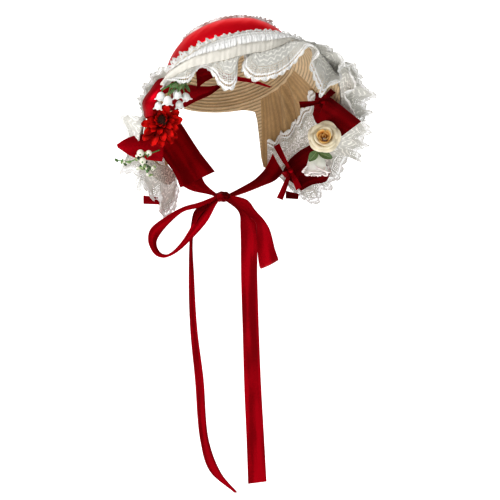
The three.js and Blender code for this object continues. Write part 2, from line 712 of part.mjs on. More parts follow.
// A round flower head: its top is a dome broken by rings of overlapping petals, and its rim is lobed.
const HEAD_ROWS = 8;
const HEAD_LOBE = 0.06;
const HEAD_RIM = 0.45;
const HEAD_HOLLOW = 0.8;
const PETAL_STEP = 1.1;
const UNDERSIDE = [[0.82, -0.1], [0.35, -0.45], [0, -0.5]];
function roseHead(radius, height, petals, rings, columns) {
  const top = (turn, run) => {
    const angle = turn * 2 * Math.PI;
    const lobe = 1 + HEAD_LOBE * Math.cos(petals * angle);
    const ring = Math.floor(run * rings);
    const step = run * rings - ring - 0.5;
    const swirl = 0.5 + 0.5 * Math.sin(petals * angle + ring * 2);
    const reach = radius * lobe * Math.sin((run * Math.PI) / 2);
    const dome = HEAD_RIM + (1 - HEAD_RIM) * Math.cos((run * Math.PI) / 2);
    const z = height * dome - step * (1 + swirl) * PETAL_STEP;
    return vec(reach * Math.cos(angle), reach * Math.sin(angle), z);
  };
  const positions = [0, 0, height * HEAD_HOLLOW];
  for (let j = 1; j <= HEAD_ROWS; j++) {
    for (let i = 0; i < columns; i++) positions.push(...top(i / columns, j / HEAD_ROWS - WELD).toArray());
  }
  for (const [reach, rise] of UNDERSIDE.slice(0, -1)) {
    for (let i = 0; i < columns; i++) {
      const angle = (i / columns) * 2 * Math.PI;
      positions.push(radius * reach * Math.cos(angle), radius * reach * Math.sin(angle), height * rise);
    }
  }
  positions.push(0, 0, height * UNDERSIDE.at(-1)[1]);
  const last = positions.length / 3 - 1;
  const triangles = [];
  const point = (ring, i) => 1 + ring * columns + (i % columns);
  const ringCount = HEAD_ROWS + UNDERSIDE.length - 1;
  for (let i = 0; i < columns; i++) {
    triangles.push(0, point(0, i), point(0, i + 1));
    for (let ring = 0; ring < ringCount - 1; ring++) {
      triangles.push(point(ring, i), point(ring + 1, i), point(ring + 1, i + 1));
      triangles.push(point(ring, i), point(ring + 1, i + 1), point(ring, i + 1));
    }
    triangles.push(last, point(ringCount - 1, i + 1), point(ringCount - 1, i));
  }
  return solidFrom(positions, triangles);
}
const ROSE_RADIUS = 20.5;
const ROSE_HEIGHT = 20;
const roseSolid = roseHead(ROSE_RADIUS, ROSE_HEIGHT, 5, 4, 20);
add("rose", moved(roseSolid, facing(seen(129, -127, -30), 0, 12)), ROSE_CREAM);
const BUD_RADIUS = 17;
const BUD_HEIGHT = 18;
const budShape = new THREE.Matrix4().makeScale(1.12, 0.88, 1);
const budSolid = moved(roseHead(BUD_RADIUS, BUD_HEIGHT, 3, 3, 16), budShape);
add("rosebud", moved(budSolid, facing(seen(119, -162, 0), 0, -20)), BUD_WHITE);

// A leaf: pointed at both ends, folded a little along its midrib and arched along its length.
const LEAF_WALL = 0.9;
const LEAF_FOLD = 1.2;
const LEAF_ARCH = 6;
const LEAF_TIP = 0.06;
const LEAF_FULLNESS = 0.8;
function leafSolid(length, width) {
  const place = (u, v) => {
    const run = THREE.MathUtils.lerp(LEAF_TIP, 1 - LEAF_TIP, u);
    const half = (width / 2) * Math.sin(Math.PI * run) ** LEAF_FULLNESS;
    const side = 2 * v - 1;
    return vec(length * (u - 0.5), half * side, LEAF_FOLD * Math.abs(side) - LEAF_ARCH * (u - 0.5) ** 2);
  };
  return sheetSolid(stations(5), [0, 0.5, 1], place, LEAF_WALL);
}

// Leaves: name, right, up, deep, length, width, roll.
const leaves = [
  ["rose_leaf_left", 114, -151, -17, 16, 10, 235],
  ["rose_leaf_right", 133, -151, -12, 13, 8, -30],
];
for (const [name, right, up, deep, length, width, roll] of leaves) {
  add(name, moved(leafSolid(length, width), facing(seen(right, up, deep), 0, 10, roll)), LEAF_GREEN);
}

// Daisy side: the bow behind the flowers
const BOW_BULGE = 2;
const bowOuterLoop = [
  [-66, -54, -128, -66, -66, -136],
  [-84, -50, -134, -74, -68, -146],
  [-98, -66, -138, -86, -75, -150],
  [-107, -80, -136, -93, -88, -148],
  [-105, -98, -124, -94, -98, -136],
];
add("daisy_side_bow_outer_loop", ribbon(bowOuterLoop, 8, BOW_BULGE), RED_SATIN);
const bowBand = [
  [-68, -60, -130, -72, -92, -112],
  [-50, -58, -118, -58, -90, -106],
  [-34, -60, -110, -38, -80, -104],
  [-18, -60, -106, -20, -72, -104],
  [-8, -58, -104, -6, -62, -104],
];
add("daisy_side_bow_inner_loop", ribbon(bowBand, 8), DARK_SATIN);
const bowTop = [
  [-38, -38, -114, -36, -64, -111],
  [-26, -36, -114, -28, -56, -111],
  [-12, -39, -110, -14, -48, -110],
];
add("daisy_side_bow_fold", ribbon(bowTop, 4), DARK_SATIN);
const bowTail = [
  [-16, -39, -109, -17, -47, -109],
  [10, -46, -106, 9, -52, -106],
  [38, -52, -102, 36, -56, -102],
  [61, -61, -98, 58, -62, -98],
];
add("daisy_side_bow_tail", ribbon(bowTail, 4), RED_SATIN);
const wideEnd = [
  [-80, -130, -80, -82, -158, -76],
  [-104, -122, -94, -100, -156, -92],
  [-128, -128, -98, -120, -152, -98],
  [-141, -136, -98, -139, -140, -98],
];
add("daisy_side_wide_ribbon", ribbon(wideEnd, 6), RED_SATIN);

// The red daisy: long petals in two layers round a dark seeded centre.
const PETAL_WALL = 1.4;
const PETAL_COLUMNS = 3;
const PETAL_ROOT = 7;
const PETAL_NOTCH = 0.45;
const PETAL_BLUNTNESS = 0.5;
const HOLE_RADIUS = 2.8;
function daisyLayer(petals, radius, rise, cup) {
  const columns = petals * PETAL_COLUMNS;
  const us = Array.from({ length: columns }, (_, i) => i / columns);
  const place = (turn, run) => {
    const angle = turn * 2 * Math.PI;
    const petal = Math.abs(Math.sin((petals * angle) / 2)) ** PETAL_BLUNTNESS;
    const outer = PETAL_ROOT + (radius - PETAL_ROOT) * THREE.MathUtils.lerp(PETAL_NOTCH, 1, petal);
    const reach = THREE.MathUtils.lerp(HOLE_RADIUS, outer, run);
    return vec(reach * Math.cos(angle), reach * Math.sin(angle), rise + cup * run * run - (1 - petal) * run);
  };
  return sheetSolid(us, [0, 1], place, PETAL_WALL, true);
}
const daisyFrame = facing(seen(-81, -105, -118), -8, 4);
const calyxPlace = new THREE.Matrix4().makeRotationX(Math.PI / 2).setPosition(0, 0, -5);
const calyx = moved(solidOf(new THREE.CylinderGeometry(7.5, 4, 12, 8)), calyxPlace);
const daisy = daisyLayer(12, 29, 0, 3).add(daisyLayer(9, 22, 3, 5)).add(calyx);
add("red_daisy", moved(daisy, daisyFrame), PETAL_RED);
const seedPlace = new THREE.Matrix4().makeScale(1, 1, 0.6).setPosition(0, 0, 5.5);
const seeds = moved(solidOf(new THREE.SphereGeometry(6.5, 9, 5)), seedPlace);
add("daisy_centre", moved(seeds, daisyFrame), SEED_BROWN);

// Lily of the valley: bells that hang from a bent stem. Profile: radius, height.
const BELL_PROFILE = [
  [0.4, 0],
  [3.4, -1.6],
  [4.4, -6.2],
  [5.7, -9.5],
  [4.7, -9.6],
  [3.3, -5.8],
  [0.4, -1.6],
];
function bellSolid(size) {
  const outline = [...BELL_PROFILE, BELL_PROFILE[0]].map(([r, h]) => new THREE.Vector2(r * size, h * size));
  return solidOf(new THREE.LatheGeometry(outline, 8));
}

// Bells: right, up, deep, size, tilt.
const bells = [
  [-82, -68, -156, 1.05, -16],
  [-74, -73, -158, 1.1, -4],
  [-63, -65, -154, 1.1, 8],
  [-53, -69, -148, 1.05, 22],
  [-86, -81, -150, 0.9, -10],
  [-60, -79, -146, 0.95, 6],
];
bells.forEach(([right, up, deep, size, tilt], i) => {
  const hang = facing(seen(right, up, deep), 0, -10, tilt);
  add("lily_bell_" + (i + 1), moved(bellSolid(size), hang), BERRY_CREAM);
});

// A stem through places given as right, up and deep.
const STEM_SIDES = 5;
function stemSolid(points, thickness, steps) {
  const path = new THREE.CatmullRomCurve3(points.map((p) => seen(...p)));
  const section = new THREE.Shape();
  for (let i = 0; i < STEM_SIDES; i++) {
    const angle = (i / STEM_SIDES) * 2 * Math.PI;
    const method = i === 0 ? "moveTo" : "lineTo";
    section[method]((Math.cos(angle) * thickness) / 2, (Math.sin(angle) * thickness) / 2);
  }
  section.closePath();
  return solidOf(new THREE.ExtrudeGeometry(section, { steps, bevelEnabled: false, extrudePath: path }));
}
const LILY_STEM = 2.4;
const BELL_STEM = 1.8;
const bellStems = [
  [[-70, -58, -153], [-74, -72, -157]],
  [[-62, -54, -150], [-63, -64, -153]],
  [[-56, -53, -146], [-53, -68, -147]],
  [[-81, -64, -153], [-86, -80, -149]],
  [[-62, -54, -149], [-60, -79, -145]],
];
const mainStem = [[-46, -54, -136], [-58, -53, -147], [-70, -58, -153], [-82, -65, -154]];
let lilyStem = stemSolid(mainStem, LILY_STEM, 6);
for (const ends of bellStems) lilyStem = lilyStem.add(stemSolid(ends, BELL_STEM, 2));
add("lily_stem", lilyStem, LEAF_GREEN);

// Berry sprig below the daisy, which comes out from under the wide ribbon
const SPRIG = 1.6;
const sprigMain = [
  [-85, -143, -82],
  [-96, -147, -101],
  [-106, -150, -106],
  [-124, -158, -108],
  [-140, -156, -106],
];
const sprigDown = [
  [-106, -150, -106],
  [-104, -164, -108],
  [-100, -176, -106],
];
const sprigAcross = [
  [-115, -169, -108],
  [-104, -162, -107],
  [-92, -169, -108],
];
let sprig = stemSolid(sprigMain, SPRIG, 6);
for (const twig of [sprigDown, sprigAcross]) sprig = sprig.add(stemSolid(twig, SPRIG, 4));
add("berry_sprig", sprig, LEAF_GREEN);

// Berries: right, up, deep, radius.
const berries = [
  [-110, -147, -110, 4.6],
  [-107, -157, -111, 4.2],
  [-99, -147, -105, 3.8],
  [-113, -167, -108, 2.4],
  [-94, -167, -108, 2.6],
];
berries.forEach(([right, up, deep, radius], i) => {
  const berry = moved(solidOf(new THREE.SphereGeometry(radius, 7, 5)), facing(seen(right, up, deep)));
  add("berry_" + (i + 1), berry, BERRY_CREAM);
});

export default bonnet;
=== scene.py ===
import math

import bmesh
import bpy
import numpy as np
from bpy.props import FloatProperty, FloatVectorProperty, PointerProperty
from mathutils import Matrix, Vector
from mathutils.geometry import delaunay_2d_cdt


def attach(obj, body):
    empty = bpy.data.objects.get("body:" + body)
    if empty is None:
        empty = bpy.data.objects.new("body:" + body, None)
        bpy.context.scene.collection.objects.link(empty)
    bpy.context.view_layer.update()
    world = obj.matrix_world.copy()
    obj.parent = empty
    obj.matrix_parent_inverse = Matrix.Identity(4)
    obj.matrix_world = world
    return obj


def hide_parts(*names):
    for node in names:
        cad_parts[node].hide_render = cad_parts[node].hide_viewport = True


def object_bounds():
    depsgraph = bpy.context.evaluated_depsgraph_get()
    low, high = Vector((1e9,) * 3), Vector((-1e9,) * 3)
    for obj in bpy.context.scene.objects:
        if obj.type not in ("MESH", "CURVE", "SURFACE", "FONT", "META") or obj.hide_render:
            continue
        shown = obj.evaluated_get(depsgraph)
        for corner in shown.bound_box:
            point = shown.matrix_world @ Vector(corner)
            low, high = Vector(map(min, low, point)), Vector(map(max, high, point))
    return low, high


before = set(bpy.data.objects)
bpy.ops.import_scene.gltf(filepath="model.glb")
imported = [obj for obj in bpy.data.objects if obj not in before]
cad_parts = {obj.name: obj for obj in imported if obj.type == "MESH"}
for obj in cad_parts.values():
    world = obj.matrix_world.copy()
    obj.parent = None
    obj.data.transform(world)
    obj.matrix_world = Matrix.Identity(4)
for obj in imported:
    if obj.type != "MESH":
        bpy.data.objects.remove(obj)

CAD_LOW, CAD_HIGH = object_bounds()

bl_info = {
    "name": "Lace bonnet",
    "version": (1, 0, 0),
    "blender": (4, 5, 0),
    "location": "View3D > Sidebar > Bonnet",
    "description": "Makes a straw bonnet with lace ruffles, satin ribbons and small flowers",
    "category": "Object",
}

MM = 0.001
TINY = 1e-6

# Shape of the straw, in millimetres and degrees
STRAW_WALL = 2.4
CROWN_HALF_WIDTH = 80.0
CROWN_HALF_DEPTH = 90.0
CROWN_HEIGHT = 51.0
CROWN_SQUARENESS = 2.2
CROWN_TILT = math.radians(23)
BRIM_LEAN = 20.0
FLAP_END = 130.0
CLEARANCE = 0.6
SATIN = 1.0
LACE = 1.4
LACE_LIFT = STRAW_WALL / 2 + LACE / 2 + CLEARANCE
BAND_LIFT = STRAW_WALL / 2 + SATIN / 2 + CLEARANCE

# The view that the trims were measured in
VIEW_TURN = math.radians(24)
VIEW_DISTANCE = 1500.0
VIEW_AIM_RIGHT = 32.5
VIEW_AIM_UP = -273.0
VIEW_RIGHT = np.array([math.cos(VIEW_TURN), -math.sin(VIEW_TURN), 0.0])
VIEW_AWAY = np.array([math.sin(VIEW_TURN), math.cos(VIEW_TURN), 0.0])
UP = np.array([0.0, 0.0, 1.0])
RIGHT = np.array([1.0, 0.0, 0.0])

CROWN_UP = np.array([0.0, math.sin(CROWN_TILT), math.cos(CROWN_TILT)])
CROWN_BACK = np.array([0.0, math.cos(CROWN_TILT), -math.sin(CROWN_TILT)])
CROWN_FOOT = CROWN_UP * (STRAW_WALL / 2 - CROWN_HEIGHT)

# Brim: degrees from the front, length from the brow, slope at the brow, slope at the edge
BRIM = np.array([
    (0, 32, -4, -16),
    (30, 42, -8, -20),
    (55, 66, -18, -36),
    (75, 88, -38, -60),
    (95, 104, -58, -80),
    (113, 104, -74, -90),
    (124, 96, -84, -94),
    (132, 18, -88, -90),
    (150, 8, -88, -90),
    (180, 6, -88, -90),
], float)
LENGTH, BROW_SLOPE, EDGE_SLOPE = 1, 2, 3

# Hems as the measured view shows them: degrees of the brim that each fold hangs from, then right, up and depth
FRONT_HEM = np.array([
    (-121, -60.3, -189.8, 2),
    (-118, -61.8, -208, 6),
    (-115, -67, -222.3, 2),
    (-112, -77.4, -232.1, -8),
    (-109.5, -84.5, -219.7, -20),
    (-107.5, -80.6, -205.4, -30),
    (-105, -88.4, -210.6, -22),
    (-102, -97.5, -202.8, -40),
    (-99, -104.7, -192.4, -54),
    (-96.5, -114.4, -194.3, -46),
    (-94, -111.2, -178.1, -68),
    (-91, -122.2, -172.2, -72),
    (-88.5, -135.2, -173.6, -78),
    (-86, -130, -156, -84),
    (-84, -123.5, -140.4, -80),
    (-82, -127.4, -126.1, -80),
    (-80, -131.3, -113.8, -84),
    (-78.5, -137.2, -101.4, -88),
    (-76, -127.4, -97.5, -104),
    (-74, -114.4, -105.3, -114),
    (-72, -106.6, -93.6, -128),
    (-69, -97.5, -83.2, -134),
    (-66, -89.7, -76.7, -140),
    (-63, -83.2, -65, -146),
    (-60, -77.4, -52, -152),
    (-57, -68.9, -52.6, -158.4),
    (-53.5, -58.5, -55.9, -159.2),
    (-50, -49.4, -55.2, -158.4),
    (-47.5, -42.2, -48.1, -152),
    (-45, -37.7, -39.6, -140),
    (-42, -31.2, -35.8, -134),
    (-39, -22.8, -37.7, -142),
    (-36, -15.6, -45.5, -154),
    (-33, -8.5, -56.6, -158.8),
    (-30.5, -0.7, -64.4, -159.8),
    (-28, 7.8, -65, -159.6),
    (-25.5, 13.7, -57.2, -158),
    (-23.5, 15, -45.5, -148),
    (-21.5, 12.3, -33.8, -136),
    (-19.5, 15.6, -23.4, -128),
    (-17, 22.1, -18.9, -124),
    (-14.5, 26, -23.4, -130),
    (-12.5, 22.8, -32.5, -142),
    (-10.5, 23.4, -41.6, -152),
    (-8, 30.6, -49.4, -156),
    (-5, 41, -52.6, -155.5),
    (-1, 53.3, -52, -153.5),
    (4, 67.6, -47.5, -150),
    (9, 80.6, -39.6, -143.5),
    (13, 91, -29.2, -138),
    (17, 100.1, -18.2, -137),
    (21, 107.9, -8.5, -131),
    (25, 115.7, -9.8, -128.5),
    (28, 122.9, -16.2, -126),
    (31, 117, -24.7, -124),
    (34, 110.5, -30.6, -112),
    (37, 112.5, -41.6, -110),
    (40, 116.4, -52, -106),
    (43, 120.9, -63.1, -102),
    (46, 125.5, -72.8, -100),
    (49, 132.6, -62.4, -100),
    (52, 141.7, -57.2, -104),
    (55, 149.5, -54, -103),
    (57, 147.6, -42.9, -94),
    (59, 149.5, -32.5, -86),
    (61, 157.3, -29.2, -84),
    (63, 163.2, -41.6, -84),
    (65, 169.7, -61.1, -82),
    (67, 162.5, -64.4, -70),
    (69, 155.3, -68.2, -58),
    (71.5, 159.9, -79.3, -54),
    (74, 166.4, -91.7, -48),
    (77, 172.9, -104, -38),
    (80, 182, -106.6, -18),
    (82, 188.5, -120.2, -8),
    (84, 178.1, -128.7, 0),
    (86, 185.9, -137.8, 2),
    (88.5, 172.9, -144.3, 12),
    (91, 176.8, -158, 14),
    (93.5, 161.8, -152.1, 22),
    (96, 153.4, -165.1, 24),
    (98.5, 146.9, -182, 30),
    (101, 137.8, -183.3, 36),
    (103.5, 137.8, -195, 38),
    (106, 126.1, -195, 46),
    (108, 122.9, -209.3, 46),
    (110.5, 113.1, -213.2, 50),
    (113, 102.7, -206.7, 56),
    (115.5, 92.3, -200.2, 56),
    (118, 79.3, -187.2, 55),
], float)
BACK_HEM_ROSE_SIDE = np.array([
    (24, 102.7, 0, -99),
    (28, 111.8, -2.6, -108),
    (31, 118.3, -4.5, -100),
    (34, 127.4, -6.5, -108),
    (37, 135.2, -8.5, -104),
    (40, 140.4, -15.6, -94),
    (43, 149.5, -18.2, -104),
    (46, 155.3, -29.2, -100),
    (49, 158.6, -35.1, -86),
    (52, 167.7, -30.6, -94),
    (55, 171.6, -39, -82),
    (58, 176.8, -48.1, -76),
    (61, 178.1, -57.2, -62),
    (64, 185.9, -65, -62),
    (67, 197.6, -72.8, -58),
    (70, 185.2, -78.7, -40),
    (73, 182, -87.1, -32),
    (76, 189.8, -94.9, -28),
    (80, 180.7, -101.4, -10),
    (84, 176.8, -115.7, -2),
    (88, 165.1, -127.4, 16),
    (92, 149.5, -143, 22),
    (97, 126.1, -153.4, 38),
], float)
BACK_HEM_DAISY_SIDE = np.array([
    (-84, -107.9, -101.4, -97),
    (-80.5, -109.2, -87.1, -113),
    (-77.5, -113.1, -76.7, -116),
    (-75, -105.3, -68.9, -126),
    (-72.5, -106.6, -58.5, -132),
    (-70, -96.2, -53.3, -132),
    (-68, -98.2, -45.5, -140),
    (-66, -88.4, -41.6, -136),
    (-64, -84.5, -33.8, -140),
], float)
# Where the front ruffle's lace joins its padded ground, in the same columns
FRONT_JOINT = np.array([
    (-121, -62.4, -175.5, 0),
    (-112, -74.1, -188.5, -17),
    (-103, -94.9, -176.8, -42),
    (-95, -107.9, -159.9, -64),
    (-87, -113.1, -139.1, -90),
    (-80, -110.5, -117, -108),
    (-74, -104, -96.2, -120),
    (-68, -92.3, -78, -134),
    (-62, -76.7, -59.8, -144),
    (-56, -59.8, -44.2, -154),
    (-50, -45.5, -35.8, -158),
    (-44, -31.2, -31.2, -157),
    (-38, -15.6, -28.6, -155),
    (-30, 2.6, -24.7, -153),
    (-22, 19.5, -19.5, -148),
    (-14, 35.1, -16.2, -144),
    (-6, 49.4, -14.3, -138),
    (2, 62.4, -10.4, -132),
    (10, 75.4, -5.2, -122),
    (17, 87.1, -0.7, -113),
    (24, 97.5, -2.6, -106),
    (32, 110.1, -8.6, -97.5),
    (41, 124.9, -19.8, -87.5),
    (50, 139.2, -35.5, -74.6),
    (58, 148.6, -52.9, -59),
    (64, 152.1, -69.8, -45),
    (71, 150.9, -91.4, -27),
    (78, 145.1, -111.4, -8),
    (85, 135.1, -130.9, 10),
    (92, 120.9, -146.8, 26),
    (99, 104.4, -156.4, 38.5),
    (106, 88.4, -163.2, 47),
    (118, 61.1, -171.6, 54),
], float)
# Shares of the brim's depth where a back ruffle's cloth starts and where it turns out
BACK_LINE, BACK_TURN = 0.78, 0.86
# How far the front ruffle's padding stands off the brim, in millimetres
PUFF = 8.5


# Shapes

def smooth(rows, column, x):
    """A smooth curve through a table's rows, which never overshoots them."""
    xs, ys = rows[:, 0], rows[:, column]
    width = np.diff(xs)
    slope = np.diff(ys) / width
    before, after = slope[:-1], slope[1:]
    bend = np.zeros_like(ys)
    same = before * after > 0
    bend[1:-1][same] = 2 * before[same] * after[same] / (before + after)[same]
    x = np.asarray(x, float)
    i = np.clip(np.searchsorted(xs, x, side="right") - 1, 0, len(xs) - 2)
    t = np.clip((x - xs[i]) / width[i], 0, 1)
    t2, t3 = t * t, t * t * t
    return (
        (2 * t3 - 3 * t2 + 1) * ys[i]
        + (t3 - 2 * t2 + t) * width[i] * bend[i]
        + (3 * t2 - 2 * t3) * ys[i + 1]
        + (t3 - t2) * width[i] * bend[i + 1]
    )


def times(amounts, direction):
    return np.asarray(amounts)[..., None] * direction


def lengths_along(points):
    """The length from the start of a line to each of its points."""
    return np.concatenate([[0], np.cumsum(np.linalg.norm(np.diff(points, axis=0), axis=1))])


def crown_point(around, down, lift=0.0):
    """Around is in degrees from the front; down runs from 0 at the top of the crown to 1 at the brow."""
    a = np.radians(around)
    w = np.asarray(down, float) * np.pi / 2
    reach = np.clip(np.sin(w), 0, 1) ** (2 / CROWN_SQUARENESS)
    height = np.clip(np.cos(w), 0, 1) ** (2 / CROWN_SQUARENESS)
    return (
        CROWN_FOOT
        + times((CROWN_HALF_WIDTH + lift) * reach * np.sin(a), RIGHT)
        - times((CROWN_HALF_DEPTH + lift) * reach * np.cos(a), CROWN_BACK)
        + times((CROWN_HEIGHT + lift) * height * np.ones_like(a), CROWN_UP)
    )


def brim_out(around):
    turned = np.minimum(np.abs(around), FLAP_END)
    lean = BRIM_LEAN * np.sin(np.pi * turned / FLAP_END) * np.sign(around)
    a = np.radians(around - lean)
    return np.stack([np.sin(a), -np.cos(a), np.zeros_like(a)], -1)


def brim_slope(around, along):
    start = smooth(BRIM, BROW_SLOPE, np.abs(around))
    return start + (smooth(BRIM, EDGE_SLOPE, np.abs(around)) - start) * along


def brim_middle(around, along):
    length = smooth(BRIM, LENGTH, np.abs(around)) * along
    start = np.radians(brim_slope(around, 0))
    here = np.radians(brim_slope(around, along))
    chord = length * np.sinc((here - start) / 2 / np.pi)
    mid = (start + here) / 2
    out = brim_out(around) * (chord * np.cos(mid))[..., None]
    return crown_point(around, 1.0) + out + times(chord * np.sin(mid), UP)


def unit(v):
    return v / (np.linalg.norm(v, axis=-1, keepdims=True) + TINY)


def brim_point(around, along, lift=0.0):
    """Along runs from 0 at the brow to 1 at the edge; lift is off the middle of the straw, outwards."""
    around, along = np.broadcast_arrays(np.asarray(around, float), np.asarray(along, float))
    outwards = brim_middle(around, along + 0.02) - brim_middle(around, along - 0.02)
    sideways = brim_middle(around + 1, along) - brim_middle(around - 1, along)
    normal = unit(np.cross(outwards, sideways))
    return brim_middle(around, along) + normal * np.asarray(lift)[..., None]


def seen(right, up, deep):
    """A place as the measured view shows it: right, up, and depth away from the eye."""
    right, up, deep = (np.asarray(v, float) for v in (right, up, deep))
    spread = 1 + deep / VIEW_DISTANCE
    return (
        times(VIEW_AIM_RIGHT + (right - VIEW_AIM_RIGHT) * spread, VIEW_RIGHT)
        + times(VIEW_AIM_UP + (up - VIEW_AIM_UP) * spread, UP)
        + times(deep, VIEW_AWAY)
    )


def seen_rows(rows):
    """The places of rows of right, up and depth."""
    return seen(*np.array(rows, float).T)


def facing(place, turn_right=0.0, turn_up=0.0, roll=0.0):
    """The frame of something that sits at a place and faces the measured view, as a matrix in millimetres."""
    basis = Matrix((VIEW_RIGHT, UP, -VIEW_AWAY)).transposed().to_4x4()
    turn = (
        Matrix.Rotation(math.radians(turn_right), 4, "Y")
        @ Matrix.Rotation(math.radians(-turn_up), 4, "X")
        @ Matrix.Rotation(math.radians(roll), 4, "Z")
    )
    return Matrix.Translation(Vector(place)) @ basis @ turn


def moved(points, matrix):
    m = np.array(matrix)
    return np.asarray(points) @ m[:3, :3].T + m[:3, 3]


def ripple(x, period, phase=0.0):
    """An uneven wave, for small gathers."""
    t = 2 * np.pi * np.asarray(x) / period + phase
    return (np.sin(t + 0.7 * np.sin(0.31 * t)) + 0.45 * np.sin(0.618 * t + 1.7) + 0.3 * np.sin(1.71 * t + 0.4)) / 1.5


def curve_through(points, ts):
    """A centripetal curve through the points, at parameters from 0 to 1."""
    p = np.asarray(points, float)
    p = np.concatenate([[2 * p[0] - p[1]], p, [2 * p[-1] - p[-2]]])
    spans = len(p) - 3
    ts = np.clip(np.asarray(ts, float), 0, 1) * spans
    i = np.minimum(ts.astype(int), spans - 1)
    w = (ts - i)[:, None]
    p0, p1, p2, p3 = p[i], p[i + 1], p[i + 2], p[i + 3]
    steps = (p1 - p0, p2 - p1, p3 - p2)
    d0, d1, d2 = (np.maximum(np.linalg.norm(step, axis=1), 1e-3)[:, None] ** 0.5 for step in steps)
    m1 = ((p1 - p0) / d0 - (p2 - p0) / (d0 + d1) + (p2 - p1) / d1) * d1
    m2 = ((p2 - p1) / d1 - (p3 - p1) / (d1 + d2) + (p3 - p2) / d2) * d1
    return p1 + m1 * w + (-3 * p1 + 3 * p2 - 2 * m1 - m2) * w**2 + (2 * p1 - 2 * p2 + m1 + m2) * w**3


# Meshes

def grid_faces(columns, rows, closes=False):
    i, j = np.meshgrid(np.arange(columns if closes else columns - 1), np.arange(rows - 1), indexing="ij")
    a, b = i * rows + j, (i + 1) % columns * rows + j
    return np.stack([a, b, b + 1, a + 1], -1).reshape(-1, 4)


def grid_normals(grid, closes=False):
    if closes:
        along = np.roll(grid, -1, 0) - np.roll(grid, 1, 0)
    else:
        along = np.gradient(grid, axis=0)
    across = np.gradient(grid, axis=1)
    return unit(np.cross(along, across)).reshape(-1, 3)


def thicken(points, faces, normals, front, back):
    """Two layers of a sheet, joined along each open edge. Returns the points and the faces."""
    count = len(points)
    front, back = np.reshape(front, (-1, 1)), np.reshape(back, (-1, 1))
    both = np.concatenate([points + normals * front, points - normals * back])
    faces = [tuple(f) for f in np.asarray(faces).tolist()]
    edges = {}
    for f in faces:
        for a, b in zip(f, f[1:] + f[:1]):
            if (b, a) in edges:
                del edges[(b, a)]
            else:
                edges[(a, b)] = True
    layers = faces + [tuple(i + count for i in reversed(f)) for f in faces]
    walls = [(b, a, a + count, b + count) for a, b in edges]
    return both, layers + walls


class Piece:
    """Gathers parts in millimetres and turns them into one object."""

    def __init__(self, name):
        self.name, self.points, self.faces, self.uvs, self.slots, self.materials = name, [], [], [], [], []
        self.count = 0

    def add(self, points, faces, uv, material):
        if material not in self.materials:
            self.materials.append(material)
        slot = self.materials.index(material)
        points, uv = np.asarray(points, float), np.asarray(uv, float)
        faces = [tuple(f) for f in (faces.tolist() if hasattr(faces, "tolist") else faces)]
        self.points.append(points)
        self.faces += [tuple(i + self.count for i in f) for f in faces]
        self.uvs.append(uv[np.array([i for f in faces for i in f])])
        self.slots += [slot] * len(faces)
        self.count += len(points)

    def sheet(self, grid, thickness, uv, material, closes=False, front=None):
        """A grid of points as a thin closed sheet; front, where given, is the thickness of each point's front half."""
        columns, rows = grid.shape[:2]
        normals = grid_normals(grid, closes)
        faces = grid_faces(columns, rows, closes)
        half = np.full(columns * rows, thickness / 2) if front is None else front.reshape(-1)
        points, faces = thicken(grid.reshape(-1, 3), faces, normals, half, half)
        uv = np.concatenate([uv.reshape(-1, 2)] * 2)
        self.add(points, faces, uv, material)

    def ring(self, grid, uv, material):
        """A closed tube through a grid of points, with a flat cap at each end."""
        columns, rows = grid.shape[:2]
        count = columns * rows
        caps = [tuple(range(0, count, rows))[::-1], tuple(range(rows - 1, count, rows))]
        faces = grid_faces(columns, rows, True).tolist() + caps
        self.add(grid.reshape(-1, 3), faces, uv.reshape(-1, 2), material)

    def object(self, weld=0.0005, sharp=50.0):
        mesh = bpy.data.meshes.new(self.name)
        mesh.from_pydata((np.concatenate(self.points) * MM).tolist(), [], self.faces)
        layer = mesh.uv_layers.new(name="cloth")
        layer.data.foreach_set("uv", np.concatenate(self.uvs).astype(np.float32).ravel())
        for material in self.materials:
            mesh.materials.append(material)
        mesh.polygons.foreach_set("material_index", self.slots)
        work = bmesh.new()
        work.from_mesh(mesh)
        bmesh.ops.remove_doubles(work, verts=work.verts, dist=weld * MM)
        bmesh.ops.dissolve_degenerate(work, edges=work.edges, dist=1e-7)
        bmesh.ops.recalc_face_normals(work, faces=work.faces)
        work.to_mesh(mesh)
        work.free()
        mesh.shade_smooth()
        mesh.set_sharp_from_angle(angle=math.radians(sharp))
        made = bpy.data.objects.new(self.name, mesh)
        bpy.context.scene.collection.objects.link(made)
        return made

    def finish(self, slot, *nodes, **more):
        made = self.object(**more)
        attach(made, "root")
        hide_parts(*nodes)
        return made


def round_grid(sides, across):
    """The angles round a ring and the steps across it, as two grids."""
    return np.meshgrid(np.linspace(0, 2 * np.pi, sides + 1)[:-1], across, indexing="ij")


def unwrap_seam(uvs, girth):
    """Carries the map on over the seam where a ring of four-sided faces closes, and returns it face by face."""
    corners = uvs.reshape(-1, 4, 2)
    along = corners[:, :, 0]
    wrapped = (along.max(1) - along.min(1)) > girth / 2
    along += np.where(wrapped[:, None] & (along < girth / 2), girth, 0)
    return corners


# Materials

def join(tree, socket, value):
    """Links an input to another node's output, or gives it a plain value."""
    if isinstance(value, bpy.types.NodeSocket):
        tree.links.new(value, socket)
    else:
        socket.default_value = value


def fill(tree, made, props, inputs):
    """Sets a node's properties and its inputs, which are named, or numbered as i0, i1 and so on."""
    for key, value in dict(props).items():
        setattr(made, key, value)
    for key, value in inputs.items():
        key = int(key[1:]) if key[0] == "i" and key[1:].isdigit() else key.replace("_", " ")
        join(tree, made.inputs[key], value)
    return made


